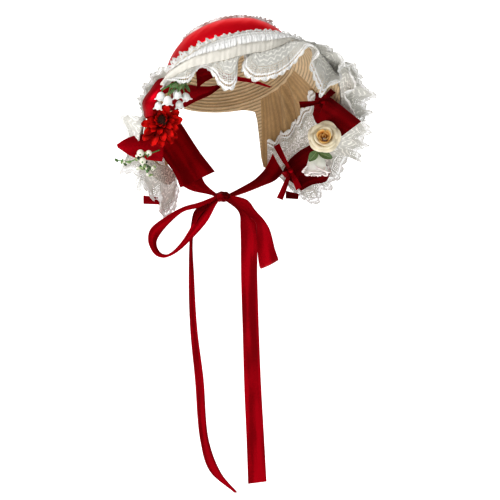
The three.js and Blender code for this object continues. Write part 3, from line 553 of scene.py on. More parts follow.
class Nodes:
    """Builds a material from Blender's nodes, a line at a time."""

    def __init__(self, name, roughness, **fixed):
        self.material = bpy.data.materials.new(name)
        self.material.use_nodes = True
        self.tree = self.material.node_tree
        self.tree.nodes.clear()
        self.shader = self.tree.nodes.new("ShaderNodeBsdfPrincipled")
        out = self.tree.nodes.new("ShaderNodeOutputMaterial")
        self.tree.links.new(self.shader.outputs[0], out.inputs[0])
        self.shader.inputs["Roughness"].default_value = roughness
        for key, value in fixed.items():
            self.shader.inputs[key.replace("_", " ")].default_value = value

    def add(self, kind, out=0, props=(), **inputs):
        return fill(self.tree, self.tree.nodes.new("ShaderNode" + kind), props, inputs).outputs[out]

    def put(self, socket, value):
        join(self.tree, socket, value)

    def math(self, what, a, b=0.0, c=0.0):
        return self.add("Math", props={"operation": what}, i0=a, i1=b, i2=c)

    def uv(self):
        """Both ways of the piece's own map, in millimetres on cloth."""
        split = self.tree.nodes.new("ShaderNodeSeparateXYZ")
        self.put(split.inputs[0], self.add("TexCoord", out="UV"))
        return split.outputs[0], split.outputs[1]

    def mapped(self, scale, kind="UV"):
        place = self.add("TexCoord", out=kind)
        return self.add("Mapping", Vector=place, Scale=scale)

    def noise(self, scale, detail, kind="UV"):
        """Noise over the piece's map or over the object. A larger scale is finer."""
        return self.add("TexNoise", Vector=self.mapped(scale, kind), Scale=1.0, Detail=detail)

    def wave(self, value, period):
        return self.math("SINE", self.math("MULTIPLY", value, 2 * math.pi / period))

    def apart(self, value, at):
        return self.math("ABSOLUTE", self.math("SUBTRACT", value, at))

    def ramp(self, fac, *stops):
        node = self.tree.nodes.new("ShaderNodeValToRGB")
        elements = node.color_ramp.elements
        while len(elements) < len(stops):
            elements.new(0.5)
        for element, (position, colour) in zip(elements, stops):
            element.position = position
            element.color = (*colour, 1)
        self.put(node.inputs[0], fac)
        return node.outputs[0]

    def range(self, value, low, high, start=0.0, end=1.0):
        return self.add("MapRange", i0=value, i1=start, i2=end, i3=low, i4=high)

    def bump(self, height, strength, distance):
        bump = self.add("Bump", Height=height, Strength=strength, Distance=distance * MM)
        self.put(self.shader.inputs["Normal"], bump)

    def colour(self, value):
        self.put(self.shader.inputs["Base Color"], value)

    def scaled_colour(self, base, light):
        self.colour(self.add("VectorMath", props={"operation": "SCALE"}, i0=base, Scale=light))

    def rough(self, value):
        self.put(self.shader.inputs["Roughness"], value)


def tone(colour, amount):
    return tuple(min(1.0, c * amount) for c in colour)


_made = {}


def kept(make):
    """Makes a material once, on its first use."""
    def wrapped(*args):
        key = (make.__name__, *args)
        if key not in _made:
            _made[key] = make(*args)
        return _made[key]
    return wrapped


# The flaps' rows of plait are counted from the first number, and the crown and brim have fewer than the second
MAPPED_FLAP, MAPPED_BRIM = 100.3, 60.0
# Painted shade: the flaps lie in each other's shade, so their straw is painted darker and browner
FLAP_PAINTED_SHADE = (0.70, 0.60, 0.46)


@kept
def straw_material():
    colour = tuple(bpy.context.scene.bonnet_straw.colour)
    n = Nodes("Straw plait", 0.62, Specular_IOR_Level=0.35, Sheen_Weight=0.15)
    along, row = n.uv()
    across = n.math("FRACT", row)
    arm = n.apart(across, 0.5)
    strand_at = n.math("ADD", n.math("MULTIPLY", along, 0.42), n.math("MULTIPLY", arm, 2.6))
    strand = n.math("FRACT", strand_at)
    ridge = n.math("SINE", n.math("MULTIPLY", strand, math.pi))
    which = n.math("FLOOR", strand_at)
    each = n.add("CombineXYZ", X=which, Y=n.math("FLOOR", row), Z=n.math("GREATER_THAN", across, 0.5))
    random = n.add("TexWhiteNoise", props={"noise_dimensions": "3D"}, Vector=each)
    grain = n.noise((0.5, 30.0, 1.0), 3.0)
    soft = n.noise((28.0, 28.0, 28.0), 2.0, "Object")
    # Painted shade: the straw is darkened towards both edges of each row, where the rows lap and shade falls; on the
    # flaps most of it is left out
    painted_groove_shade = n.range(n.apart(across, 0.47), 1.04, 0.5, 0.22, 0.5)
    flap = n.math("GREATER_THAN", row, MAPPED_BRIM)
    painted_groove_shade = n.math("MAXIMUM", painted_groove_shade, n.math("MULTIPLY", flap, 0.86))
    light = n.math("MULTIPLY", n.range(random, 0.9, 1.06), painted_groove_shade)
    light = n.math("MULTIPLY", light, n.range(grain, 0.95, 1.04, 0.3, 0.7))
    # Painted shade: each strand is darkened at its sides and kept light at its crest
    light = n.math("MULTIPLY", light, n.range(ridge, 0.88, 1.03))
    base = n.ramp(soft, (0.3, tone(colour, 0.88)), (0.7, tone(colour, 1.08)))
    mixed = {"data_type": "RGBA", "blend_type": "MULTIPLY"}
    # Painted shade: on the flaps the straw's colour is multiplied by a darker, browner shade colour
    base = n.add("Mix", out=2, props=mixed, Factor=flap, i6=base, i7=(*FLAP_PAINTED_SHADE, 1))
    n.scaled_colour(base, light)
    n.bump(n.math("ADD", ridge, n.math("MULTIPLY", grain, 0.35)), 0.55, 0.35)
    return n.material


# Where the painted highlight on the hatband is brightest, along its length from the back, and how long the band is
BAND_PAINTED_HIGHLIGHT_AT = 215.0
BAND_GIRTH = 535.0


@kept
def satin_material(kind):
    sizes = bpy.context.scene.bonnet_satin
    # Painted shade and light: the dark kind is the red satin darkened for ribbons that lie in shade, the edge kind
    # darkens it for the tail seen edge on, and the loop kind brightens it in place of the sheen that it is made without
    colour = {
        "bright": tuple(sizes.bright), "red": tuple(sizes.red), "tie": tuple(sizes.tie), "dark": tuple(sizes.dark),
        "edge": tone(sizes.red, 0.72)[:3], "loop": tone(sizes.red, 1.2)[:3],
    }[kind]
    shine = {"edge": 0.0, "loop": 0.0, "red": 0.3}.get(kind, 0.5)
    n = Nodes(
        "Satin " + kind, 0.34, Specular_IOR_Level=0.3 * shine, Specular_Tint=(0.7, 0.01, 0.02, 1),
        Metallic=shine, Anisotropic=0.4,
    )
    along, _ = n.uv()
    cloud = n.noise((0.014, 0.05, 1.0), 1.0)
    thread = n.noise((0.35, 9.0, 1.0), 1.0)
    rib = n.wave(along, 0.55)
    light = n.math("MULTIPLY", n.range(cloud, 0.92, 1.08, 0.3, 0.7), n.range(thread, 0.93, 1.06, 0.3, 0.7))
    # Painted sheen: broad streaks along the satin, from the noise that also bumps its folds, are painted lighter and
    # darker into its colour; uneven sets how strongly, less on the hatband
    fold = n.noise((0.006, 0.11, 1.0), 1.0)
    uneven = 0.25 if kind == "bright" else 0.7
    lit = n.math("ADD", light, n.range(fold, -0.18 * uneven, 0.26 * uneven, 0.2, 0.9))
    if kind == "bright":
        # Painted highlight and shade: the hatband's colour is brightest towards its front left and painted darker
        # further round
        turn = n.math("MULTIPLY", n.math("SUBTRACT", along, BAND_PAINTED_HIGHLIGHT_AT), 2 * math.pi / BAND_GIRTH)
        lit = n.math("MULTIPLY", lit, n.range(n.math("COSINE", turn), 0.7, 1.1, 0.6, 1.0))
        base = n.ramp(lit, (0.6, tone(colour, 0.55)), (0.95, tone(colour, 0.95)), (1.2, tone(colour, 1.15)))
    else:
        base = n.ramp(lit, (0.7, tone(colour, 0.72)), (1.0, colour), (1.3, tone(colour, 1.7)))
    n.colour(base)
    n.rough(n.range(thread, 0.28, 0.42, 0.3, 0.7))
    weave = n.math("ADD", n.math("MULTIPLY", rib, 0.3), thread)
    n.bump(n.math("ADD", weave, n.math("MULTIPLY", fold, 6.0)), 0.22, 0.12)
    return n.material


def lace_colour(kind):
    return tuple(getattr(bpy.context.scene.bonnet_lace, kind))


@kept
def ground_material():
    colour = lace_colour("ground")
    n = Nodes("Ivory ground", 0.85, Specular_IOR_Level=0.25, Sheen_Weight=0.25, Sheen_Roughness=0.5)
    soft = n.noise((0.05, 0.05, 1.0), 3.0)
    n.colour(n.ramp(soft, (0.3, tone(colour, 0.93)), (0.7, colour)))
    warp, weft = (n.wave(way, 0.7) for way in n.uv())
    n.bump(n.math("MULTIPLY", warp, weft), 0.3, 0.2)
    return n.material


@kept
def lining_material(kind="net"):
    """Sewn net over a lining, with worked rings and leaves all over it."""
    # Unless it is the ground kind, which is the ground's colour at 0.64, the lining takes the net's colour, with its
    # painted shade
    colour = tone(lace_colour(kind), 0.64 if kind == "ground" else 1.0)
    n = Nodes("Worked lining " + kind, 0.85, Specular_IOR_Level=0.25, Sheen_Weight=0.2, Sheen_Roughness=0.5)
    cells = n.add("TexVoronoi", Vector=n.mapped((0.14, 0.17, 1.0)), Scale=1.0, Randomness=0.55)
    ring = n.math("SINE", n.math("MULTIPLY", cells, 21.0))
    fine = n.noise((0.9, 0.9, 1.0), 2.0)
    worked = n.math("ADD", n.math("MULTIPLY", ring, 0.5), n.math("MULTIPLY", fine, 0.9))
    n.colour(n.ramp(worked, (0.15, tone(colour, 0.85)), (0.5, tone(colour, 1.25)), (0.85, tone(colour, 1.75))))
    n.bump(worked, 0.6, 0.5)
    return n.material


@kept
def net_material():
    """The sheer cloth between the padded ground and the lace, with soft rows of embroidery along the hem."""
    # The net's colour is partly painted shade on the folds of the ruffles
    colour = lace_colour("net")
    n = Nodes("Net", 0.85, Specular_IOR_Level=0.25, Sheen_Weight=0.2, Sheen_Roughness=0.5)
    along, inwards = n.uv()
    arcs = n.math("MULTIPLY", n.wave(along, 12.0), 1.6)
    drift = n.math("MULTIPLY", n.noise((0.13, 0.13, 1.0), 2.0), 9.0)
    row = n.wave(n.math("ADD", n.math("ADD", inwards, arcs), drift), 7.5)
    n.colour(n.ramp(row, (0.0, tone(colour, 0.92)), (0.7, tone(colour, 1.08)), (0.95, tone(colour, 1.4))))
    fine = n.noise((1.4, 1.4, 1.0), 2.0)
    n.bump(n.math("ADD", fine, row), 0.4, 0.3)
    return n.material


@kept
def thread_material():
    colour = lace_colour("thread")
    n = Nodes("Lace thread", 0.75, Specular_IOR_Level=0.3, Sheen_Weight=0.3, Sheen_Roughness=0.5)
    _, inwards = n.uv()
    bands = [n.apart(inwards, at) for at in (1.6, 3.2, 7.1)]
    near = n.math("MINIMUM", n.math("MINIMUM", bands[0], bands[1]), bands[2])
    # Between its cords the thread takes the net's colour, with the net's painted shade
    n.colour(n.ramp(n.range(near, 1.0, 0.0, 0.7, 2.2), (0.0, lace_colour("net")), (1.0, colour)))
    fine = n.noise((2.2, 0.7, 1.0), 2.0)
    n.bump(fine, 0.5, 0.3)
    return n.material


@kept
def petal_material(name, heart, middle, rim, roughness, uneven=0.1):
    """Petal cloth that turns from its heart's colour at the root to its rim's colour, with fine veins."""
    n = Nodes(name, roughness, Specular_IOR_Level=0.3, Specular_Tint=(*tone(rim, 1.2), 1))
    _, outwards_on = n.uv()
    blot = n.noise((6.0, 2.0, 1.0), 3.0)
    run = n.math("ADD", outwards_on, n.range(blot, -0.08, 0.08, 0.3, 0.7))
    base = n.ramp(run, (0.12, heart), (0.45, middle), (0.95, rim))
    each = n.noise((150.0, 150.0, 150.0), 1.0, "Object")
    n.scaled_colour(base, n.range(each, 1 - uneven, 1 + uneven * 0.4, 0.35, 0.62))
    vein = n.noise((26.0, 1.2, 1.0), 2.0)
    n.bump(n.math("ADD", vein, n.math("MULTIPLY", blot, 0.5)), 0.35, 0.4)
    return n.material


@kept
def plain_material(name, dark, light, roughness, scale):
    n = Nodes(name, roughness, Specular_IOR_Level=0.4)
    mottle = n.noise((scale, scale, scale), 3.0, "Object")
    n.colour(n.ramp(mottle, (0.35, dark), (0.65, light)))
    n.bump(mottle, 0.25, 0.3)
    return n.material


# Straw

# Where the flaps' own rows start and end, in degrees, and the width of a degree there, in millimetres
FLAP_FRONT, FLAP_REAR, FLAP_MM = 76.0, 126.0, 1.45
# Where the points of a row of plait lie, as shares of the row
ROW_STEPS = np.array([0.0, 0.22, 0.5, 0.78, 0.93])
STRAW_COLUMNS = 180
NORMALS_MEET = 9.0


def build_straw():
    """Rows of sewn plait: each row lies a little over the next, outside and inside."""
    sizes = bpy.context.scene.bonnet_straw
    pitch, relief = sizes.braid / MM, sizes.relief / MM
    around = np.linspace(-180, 180, STRAW_COLUMNS + 1)[:-1]
    fine = np.linspace(0, 1, 2001)
    arc = lengths_along(crown_point(np.full(len(fine), 90.0), fine))
    crown_rows, brim_rows = int(arc[-1] / pitch), int(BRIM[:, LENGTH].max() / pitch) + 1
    crown_steps = (np.arange(crown_rows)[:, None] + ROW_STEPS).ravel()
    down = np.interp(crown_steps * arc[-1] / crown_rows, arc, fine)
    a, d = np.meshgrid(around, down, indexing="ij")
    crown = crown_point(a, d)
    b, steps = np.meshgrid(around, (np.arange(brim_rows)[:, None] + ROW_STEPS).ravel(), indexing="ij")
    t = np.minimum(1, steps * pitch / smooth(BRIM, LENGTH, np.abs(b)))
    brim = brim_point(b, t)

    def both(on_crown, on_brim):
        return np.concatenate([np.broadcast_to(on_crown, crown.shape[:2]), on_brim], 1)

    # The normals turn over smoothly from the crown to the brim
    crown_normals = grid_normals(np.concatenate([crown, brim[:, :2]], 1), True)
    crown_normals = crown_normals.reshape(len(around), -1, 3)[:, :len(down)]
    brim_normals = unit(brim_point(b, t, 1.0) - brim)
    if np.sum(crown_normals[:, -1] * brim_normals[:, 0]) < 0:
        crown_normals = -crown_normals
    crown_normals[:, 0] = CROWN_UP * np.sign(np.sum(crown_normals[:, 5] @ CROWN_UP))
    ease = np.clip(1 - steps * pitch / NORMALS_MEET, 0, 1)[..., None]
    brim_normals = unit(brim_normals * (1 - ease) + crown_normals[:, -1:] * ease)
    grid = np.concatenate([crown, brim], 1)
    normals = np.concatenate([crown_normals, brim_normals], 1).reshape(-1, 3)
    # Each row swells and dips again; the flaps, whose plait runs the other way, stay flat
    used = smooth(BRIM, LENGTH, np.abs(b)) * t / pitch
    ring = both(np.arange(crown_rows * 5) // 5 + np.tile(ROW_STEPS, crown_rows), crown_rows + used)
    turned = np.abs(a[:, :1])
    on_flaps = np.clip((turned - 66) / 8, 0, 1) * np.clip((132 - turned) / 4, 0, 1)
    fade = both(1, 1 - on_flaps * np.clip(steps * pitch / 8, 0, 1))
    swell = np.sin(np.pi * np.clip(ring % 1.0 / ROW_STEPS[-1], 0, 1)) ** 0.6 - 0.5
    height = (relief * fade * swell + both(0, flap_creases(b, t))).reshape(-1)
    half = STRAW_WALL / 2 - 0.35
    faces = grid_faces(*grid.shape[:2], True)
    points, faces = thicken(grid.reshape(-1, 3), faces, normals, half + height, half - height)
    width = lengths_along(crown_point(np.append(around, 180.0), 1.0))
    uv = np.stack([np.broadcast_to(width[:-1, None], ring.shape), ring], -1)
    piece = Piece("straw_plait")
    piece.add(points, faces, np.concatenate([uv.reshape(-1, 2)] * 2), straw_material())
    corners = unwrap_seam(piece.uvs[0], width[-1])
    # On the flaps the rows of plait follow the flap's rear edge
    rows = grid.shape[1]
    edge_on = both(0, (FLAP_REAR - np.abs(b)) * FLAP_MM / pitch) + MAPPED_FLAP
    flap_uv = np.concatenate([np.stack([both(0, used * pitch), edge_on], -1).reshape(-1, 2)] * 2)
    loops = np.array(piece.faces)
    columns, across = loops % (len(around) * rows) // rows, loops % rows
    low, high = np.abs(around[columns]).min(1), np.abs(around[columns]).max(1)
    on_flap = (low >= FLAP_FRONT) & (high <= FLAP_REAR + 1) & (across.min(1) >= len(down) + 3)
    corners[on_flap] = flap_uv[loops[on_flap]]
    piece.finish("straw", "straw_shell", sharp=180)


# Creases: degrees at mid-flap, lean, width, height outwards, start and end along the brim
FLAP_CREASES = [
    (95, 12, 3.2, -5.0, 0.0, 0.75),
    (101, 13, 3.0, 4.6, 0.0, 0.75),
    (107, 13, 2.6, -5.2, 0.0, 0.8),
    (112, 10, 2.4, 3.0, 0.0, 0.8),
    (118, 7, 2.6, -2.6, 0.0, 0.8),
]


def flap_creases(around, along):
    """Soft folds pressed into the rose side's flap, outwards positive."""
    total = np.zeros_like(around)
    for centre, lean, width, height, start, end in FLAP_CREASES:
        line = centre + lean * (along - 0.5)
        here = np.exp(-(((around - line) / width) ** 2))
        fade = np.clip((along - start) / 0.12, 0, 1) * np.clip((end - along) / 0.12, 0, 1)
        total += height * here * fade
    return total


# Satin

BAND_TOP, BAND_FOOT = 0.46, 0.98
BAND_HALF, BAND_EDGE_HALF = 0.25, 0.42


def build_hatband():
    around = np.linspace(-180, 180, 241)[:-1]
    down = np.concatenate([[BAND_TOP, 0.467, 0.475], np.linspace(0.49, 0.95, 13), [0.965, 0.973, BAND_FOOT]])
    a, d = np.meshgrid(around, down, indexing="ij")
    middle = np.sin(np.pi * (d - BAND_TOP) / (BAND_FOOT - BAND_TOP))
    wave = 0.35 * ripple(a, 37, 0.4) * middle + 0.25 * ripple(a + 60 * d, 15, 2.0) * middle**2
    grid = crown_point(a, d, BAND_LIFT + wave)
    length = lengths_along(grid[:, 8])
    uv = np.stack([np.broadcast_to(length[:, None], a.shape), (d - BAND_TOP) * 100], -1)
    front = np.full(a.shape, BAND_HALF)
    front[:, 1] = front[:, -2] = BAND_EDGE_HALF
    piece = Piece("hatband_satin")
    piece.sheet(grid, 0, uv, satin_material("bright"), True, front)
    unwrap_seam(piece.uvs[0], length[-1])
    made = piece.finish("hatband_satin", "hatband")
    for name, at in (("hatband_stitch_top", 0.475), ("hatband_stitch_foot", 0.965)):
        stitches(name, crown_point(np.linspace(-180, 180, 361), at, BAND_LIFT + 0.5), "bright")


# Where the points across a ribbon lie, closer at its woven edges
EDGED = np.array([0, 0.035, 0.07, 0.16, 0.28, 0.4, 0.5, 0.6, 0.72, 0.84, 0.93, 0.965, 1.0])
SATIN_HALF, SELVAGE = 0.22, 0.36


def ribbon_grid(rows, steps, camber=0.5, wrinkle=(0.0, 3.0, 0.0), taper=np.ones_like):
    """Points of a ribbon between its two edges; it bows out by its camber, with wrinkles along it."""
    rows = np.array(rows, float)
    ts = np.linspace(0, 1, steps + 1)
    a, b = curve_through(seen_rows(rows[:, :3]), ts), curve_through(seen_rows(rows[:, 3:]), ts)
    v = EDGED[None]
    grid = a[:, None] * (1 - v[..., None]) + b[:, None] * v[..., None]
    normals = unit(np.cross(np.gradient(grid, axis=0), np.gradient(grid, axis=1)))
    size, count, phase = wrinkle
    waves = np.sin(2 * np.pi * count * v + phase + 3 * ts[:, None])
    bow = np.sin(np.pi * v) * (camber + size * taper(ts)[:, None] * waves)
    return grid + normals * bow[..., None]


def ribbon_uv(grid):
    """The map of a ribbon, in millimetres along and across, and its length."""
    length = lengths_along(grid.mean(1))
    width = np.linalg.norm(grid[:, -1] - grid[:, 0], axis=1).mean()
    return np.stack(np.broadcast_arrays(length[:, None], EDGED[None] * width), -1), length[-1]


def ribbon(name, node, slot, kind, rows, steps, **look):
    """A satin ribbon with a firm woven edge along each side."""
    piece = Piece(name)
    grid = ribbon_grid(rows, steps, **look)
    uv, length = ribbon_uv(grid)
    front = np.full(grid.shape[:2], SATIN_HALF)
    front[:, 1] = front[:, -2] = SELVAGE
    piece.sheet(grid, 0, uv, satin_material(kind), front=front)
    made = piece.finish(slot, node)


# Ribbons, across and then along: right, up and depth of one edge, and the same of the other edge
TIE_PANEL = [
    (-66, -97, -8, -84, -139, -34), (-56, -110, -8, -84, -146, -24), (-43, -130, -20, -75, -160, -30),
    (-31, -148, -30, -66, -173, -36), (-13, -171, -38, -58, -192, -40),
]
TIE_DAISY_SIDE = [
    (-31, -175, -35, -57, -189, -39), (-26, -186, -36, -43, -196, -38), (-13, -198, -40, -20, -201, -40),
    (-5, -203, -42, -9, -205, -42),
]
TIE_ROSE_SIDE = [
    (5, -200, -40, 10, -204, -40), (22, -191, -18, 28, -198, -18), (40, -180, 6, 48, -190, 6),
    (55, -163, 36, 66, -182, 36), (62, -148, 46, 76, -172, 46),
]
LOOP_DAISY_SIDE = [
    (-13, -203, -52, -12, -209, -34), (-33, -211, -54, -30, -217, -32), (-54, -217, -56, -54, -223, -30),
    (-79, -231, -56, -72, -238, -32), (-97, -246, -54, -84, -252, -34), (-100, -258, -53, -89, -262, -34),
    (-98, -268, -52, -88, -270, -34), (-91, -279, -54, -83, -277, -32), (-81, -283, -57, -76, -279, -33),
    (-72, -281, -60, -68, -275, -36), (-60, -274, -62, -56, -262, -39), (-36, -251, -60, -44, -243, -37),
    (-22, -234, -56, -32, -225, -35), (-12, -215, -50, -20, -211, -35), (-6, -206, -46, -10, -204, -37),
]
LOOP_ROSE_SIDE = [
    (1, -206, -46, 3, -201, -42), (20, -221, -56, 29, -208, -50), (31, -229, -59, 40, -222, -53),
    (40, -238, -58, 50, -233, -52), (41, -254, -54, 58, -246, -46), (42, -274, -50, 65, -272, -42),
    (45, -295, -44, 69, -284, -36), (47, -297, -38, 69, -286, -31), (44, -280, -32, 64, -272, -26),
    (34, -245, -30, 52, -240, -24), (20, -222, -32, 34, -216, -27), (1, -207, -38, 3, -204, -36),
]
TAIL_WIDE = [
    (-3, -206, -50, 1, -204, -44), (18, -224, -65, 32, -230, -58), (20, -245, -66, 40, -248, -58),
    (21, -312, -62, 42, -312, -52), (23, -377, -60, 44, -377, -49), (25, -450, -60, 47, -450, -50),
    (28, -520, -62, 51, -520, -54), (30, -577, -64, 54, -574, -58),
]
TAIL_NARROW = [
    (-8, -206, -36, -6, -208, -44), (-38, -220, -24, -31, -226, -44), (-44, -240, -24, -41, -252, -46),
    (-47, -312, -27, -40, -312, -49), (-45, -377, -28, -36, -377, -50), (-39, -440, -28, -28, -440, -50),
    (-32, -521, -28, -21, -521, -50), (-20, -560, -30, -5, -563, -49), (12, -588, -36, 16, -588, -40),
]
END_DAISY_SIDE = [(-106, -202, -30, -106, -213, -30), (-83, -205, -22, -83, -214, -22)]
END_ROSE_SIDE = [(79, -196, 48, 79, -206, 48), (96, -200, 45, 95, -207, 45)]
ROSE_UPPER_RIBBON = [
    (118, -68, -30, 114, -97, -16), (134, -73, -38, 119, -108, -18), (152, -86, -50, 134, -117, -22),
    (177, -106, -56, 152, -125, -28),
]
ROSE_LOWER_RIBBON = [
    (113, -135, 14, 138, -170, 2), (96, -145, 30, 131, -184, 10), (83, -157, 41, 114, -188, 22),
    (74, -173, 43, 99, -196, 30),
]
BOW_OUTER_LOOP = [
    (-66, -54, -128, -66, -66, -136), (-84, -50, -134, -74, -68, -146), (-98, -66, -138, -86, -75, -150),
    (-107, -80, -136, -93, -88, -148), (-105, -98, -124, -94, -98, -136),
]
BOW_INNER_LOOP = [
    (-68, -60, -130, -72, -92, -112), (-50, -58, -118, -58, -90, -106), (-34, -60, -110, -38, -80, -104),
    (-18, -60, -106, -20, -72, -104), (-8, -58, -104, -6, -62, -104),
]
BOW_FOLD = [
    (-38, -38, -114, -36, -64, -111), (-26, -36, -114, -28, -56, -111), (-12, -39, -110, -14, -48, -110),
]
BOW_TAIL = [
    (-16, -39, -109, -17, -47, -109), (10, -46, -106, 9, -52, -106), (38, -52, -102, 36, -56, -102),
    (61, -61, -98, 58, -62, -98),
]
WIDE_RIBBON = [
    (-80, -130, -80, -82, -158, -76), (-104, -122, -94, -100, -156, -92), (-128, -128, -98, -120, -152, -98),
    (-141, -136, -98, -139, -140, -98),
]


def towards_end(ts):
    return np.clip((ts - 0.35) / 0.65, 0, 1) ** 1.5


def towards_start(ts):
    return np.clip((0.6 - ts) / 0.6, 0, 1) ** 1.5


def build_ties():
    # The rose side's end uses the dark satin and the narrow tail uses the edge satin, both with painted shade
    dark, red = "dark_satin", "red_satin"
    ribbon("tie_panel_satin", "tie_panel_daisy_side", dark, "tie", TIE_PANEL, 26, wrinkle=(0.7, 1.2, 0.4),
           taper=towards_end)
    ribbon("tie_daisy_satin", "tie_daisy_side", dark, "tie", TIE_DAISY_SIDE, 24, camber=0.8, wrinkle=(0.9, 2.0, 0.6),
           taper=towards_end)
    ribbon("tie_rose_satin", "tie_rose_side", red, "tie", TIE_ROSE_SIDE, 36, camber=0.8, wrinkle=(0.8, 2.0, 0.2),
           taper=towards_start)
    ribbon("tie_tail_rose_satin", "tie_tail_rose_side", red, "red", TAIL_WIDE, 90, camber=0.6)
    ribbon("tie_tail_daisy_satin", "tie_tail_daisy_side", red, "edge", TAIL_NARROW, 100, camber=0.6)
    ribbon("tie_end_daisy_satin", "ribbon_end_daisy_side", red, "red", END_DAISY_SIDE, 6, camber=0.4)
    ribbon("tie_end_rose_satin", "ribbon_end_rose_side", dark, "dark", END_ROSE_SIDE, 6, camber=0.4)


KNOT_AT = (-3, -204, -42)
KNOT_HALF_WIDTH, KNOT_HALF_HEIGHT, KNOT_HALF_DEPTH = 10.0, 8.0, 6.5


def build_tie_bow():
    # The daisy side's loop is painted brighter, in place of the sheen that its satin is made without
    ribbon("tie_loop_daisy_satin", "tie_loop_daisy_side", "red_satin", "loop", LOOP_DAISY_SIDE, 90, camber=0.9)
    ribbon("tie_loop_rose_satin", "tie_loop_rose_side", "red_satin", "red", LOOP_ROSE_SIDE, 84, camber=0.8)
    # The knot: a band wrapped round, with soft folds that run over it
    t, x = round_grid(48, np.linspace(-1, 1, 25))
    fold = 1 + 0.09 * np.sin(5 * t + 2 * x) * (1 - x**2) + 0.035 * np.sin(11 * t - 3 * x)
    pleat = 1 + 0.05 * np.cos(9 * x + 1.5 * np.sin(t))
    reach = np.sqrt(np.clip(1 - (0.97 * x) ** 2, 0, 1)) ** 0.8 * fold * pleat
    high, deep = -KNOT_HALF_HEIGHT * reach * np.cos(t), KNOT_HALF_DEPTH * reach * np.sin(t)
    local = np.stack([KNOT_HALF_WIDTH * x, high, deep], -1)
    place = Matrix.Translation(Vector(seen(*KNOT_AT))) @ Matrix.Rotation(-VIEW_TURN, 4, "Z")
    piece = Piece("tie_knot_satin")
    # The knot's dark satin carries painted shade
    piece.ring(moved(local, place), np.stack([t * 7, x * 10], -1), satin_material("dark"))
    made = piece.finish("dark_satin", "tie_knot", sharp=180)


def build_side_ribbons():
    # The dark satin carries painted shade, for the ribbons that lie in shade
    dark, red = ("dark_satin", "dark"), ("red_satin", "red")
    ribbon("rose_upper_satin", "rose_side_upper_ribbon", *dark, ROSE_UPPER_RIBBON, 20, wrinkle=(0.9, 1.5, 0.3),
           taper=towards_start)
    ribbon("rose_lower_satin", "rose_side_lower_ribbon", *dark, ROSE_LOWER_RIBBON, 20, wrinkle=(1.0, 1.6, 1.1),
           taper=towards_end)
    ribbon("bow_outer_satin", "daisy_side_bow_outer_loop", *red, BOW_OUTER_LOOP, 26, camber=3.0)
    ribbon("bow_inner_satin", "daisy_side_bow_inner_loop", *dark, BOW_INNER_LOOP, 24, camber=1.0,
           wrinkle=(0.8, 1.5, 0.0))
    ribbon("bow_fold_satin", "daisy_side_bow_fold", *dark, BOW_FOLD, 16, camber=1.5)
    ribbon("bow_tail_satin", "daisy_side_bow_tail", *red, BOW_TAIL, 20, camber=0.3)
    ribbon("wide_ribbon_satin", "daisy_side_wide_ribbon", *red, WIDE_RIBBON, 24, camber=1.2, wrinkle=(1.0, 1.4, 0.5),
           taper=towards_start)


BOW_HALF_WIDTH, BOW_KNOT = 3.2, 3.6
TAIL_ARCH, LOOP_ARCH = 3, 5
# A limb of a small bow: how far along, its two half widths and how far it is raised
BOW_LIMB = [(0, 0.5, 0.5, 0), (0.5, 1, 1, 1), (1, 1, 1.6, -0.2)]


def small_bow(name, node, slot, kind, centre, tails, loops, deep):
    """A small tied bow: flat tails, folded loops and a knot."""
    piece = Piece(name)
    start = np.array(centre, float)
    for limbs, arch in ((tails, TAIL_ARCH), (loops, LOOP_ARCH)):
        for end in limbs:
            way = np.array(end, float) - start
            along = way / np.linalg.norm(way)
            side = np.array([-along[1], along[0]]) * BOW_HALF_WIDTH
            rows = []
            for run, left, right, raised in BOW_LIMB:
                here, at = start + way * run, deep - arch * raised
                rows.append((*(here + side * left), at, *(here - side * right), at))
            grid = ribbon_grid(rows, 12, camber=0.7)
            piece.sheet(grid, 2 * SATIN_HALF, ribbon_uv(grid)[0], satin_material(kind))
    t, x = round_grid(24, np.linspace(-1, 1, 11))
    bulge = BOW_KNOT * np.sqrt(np.clip(1 - (0.96 * x) ** 2, 0, 1)) * (1 + 0.1 * np.sin(3 * t + x))
    local = np.stack([bulge * np.cos(t), 4.2 * x, bulge * np.sin(t)], -1)
    knot = moved(local, facing(seen(*start, deep), roll=20))
    piece.ring(knot, np.stack([t * 4, x * 4], -1), satin_material(kind))
    piece.finish(slot, node)


def build_small_bows():
    # The upper bow's dark satin carries painted shade
    small_bow("upper_bow_satin", "rose_side_upper_bow", "dark_satin", "dark", (127, -80),
              [(97, -85), (140, -65)], [(120, -69), (120, -94)], -44)
    small_bow("lower_bow_satin", "rose_side_lower_bow", "red_satin", "red", (85, -170),
              [(66, -137), (72, -207)], [(76, -177), (97, -193)], 27)


# Lace

def inside(points, polygon):
    """Which points lie inside a convex polygon that runs counter-clockwise."""
    p = np.asarray(polygon)
    q = np.roll(p, -1, 0)
    d = q - p
    rel = points[:, None] - p[None]
    return (d[None, :, 0] * rel[..., 1] - d[None, :, 1] * rel[..., 0] > -TINY).all(1)


LEAST_TRIANGLE = 1e-4


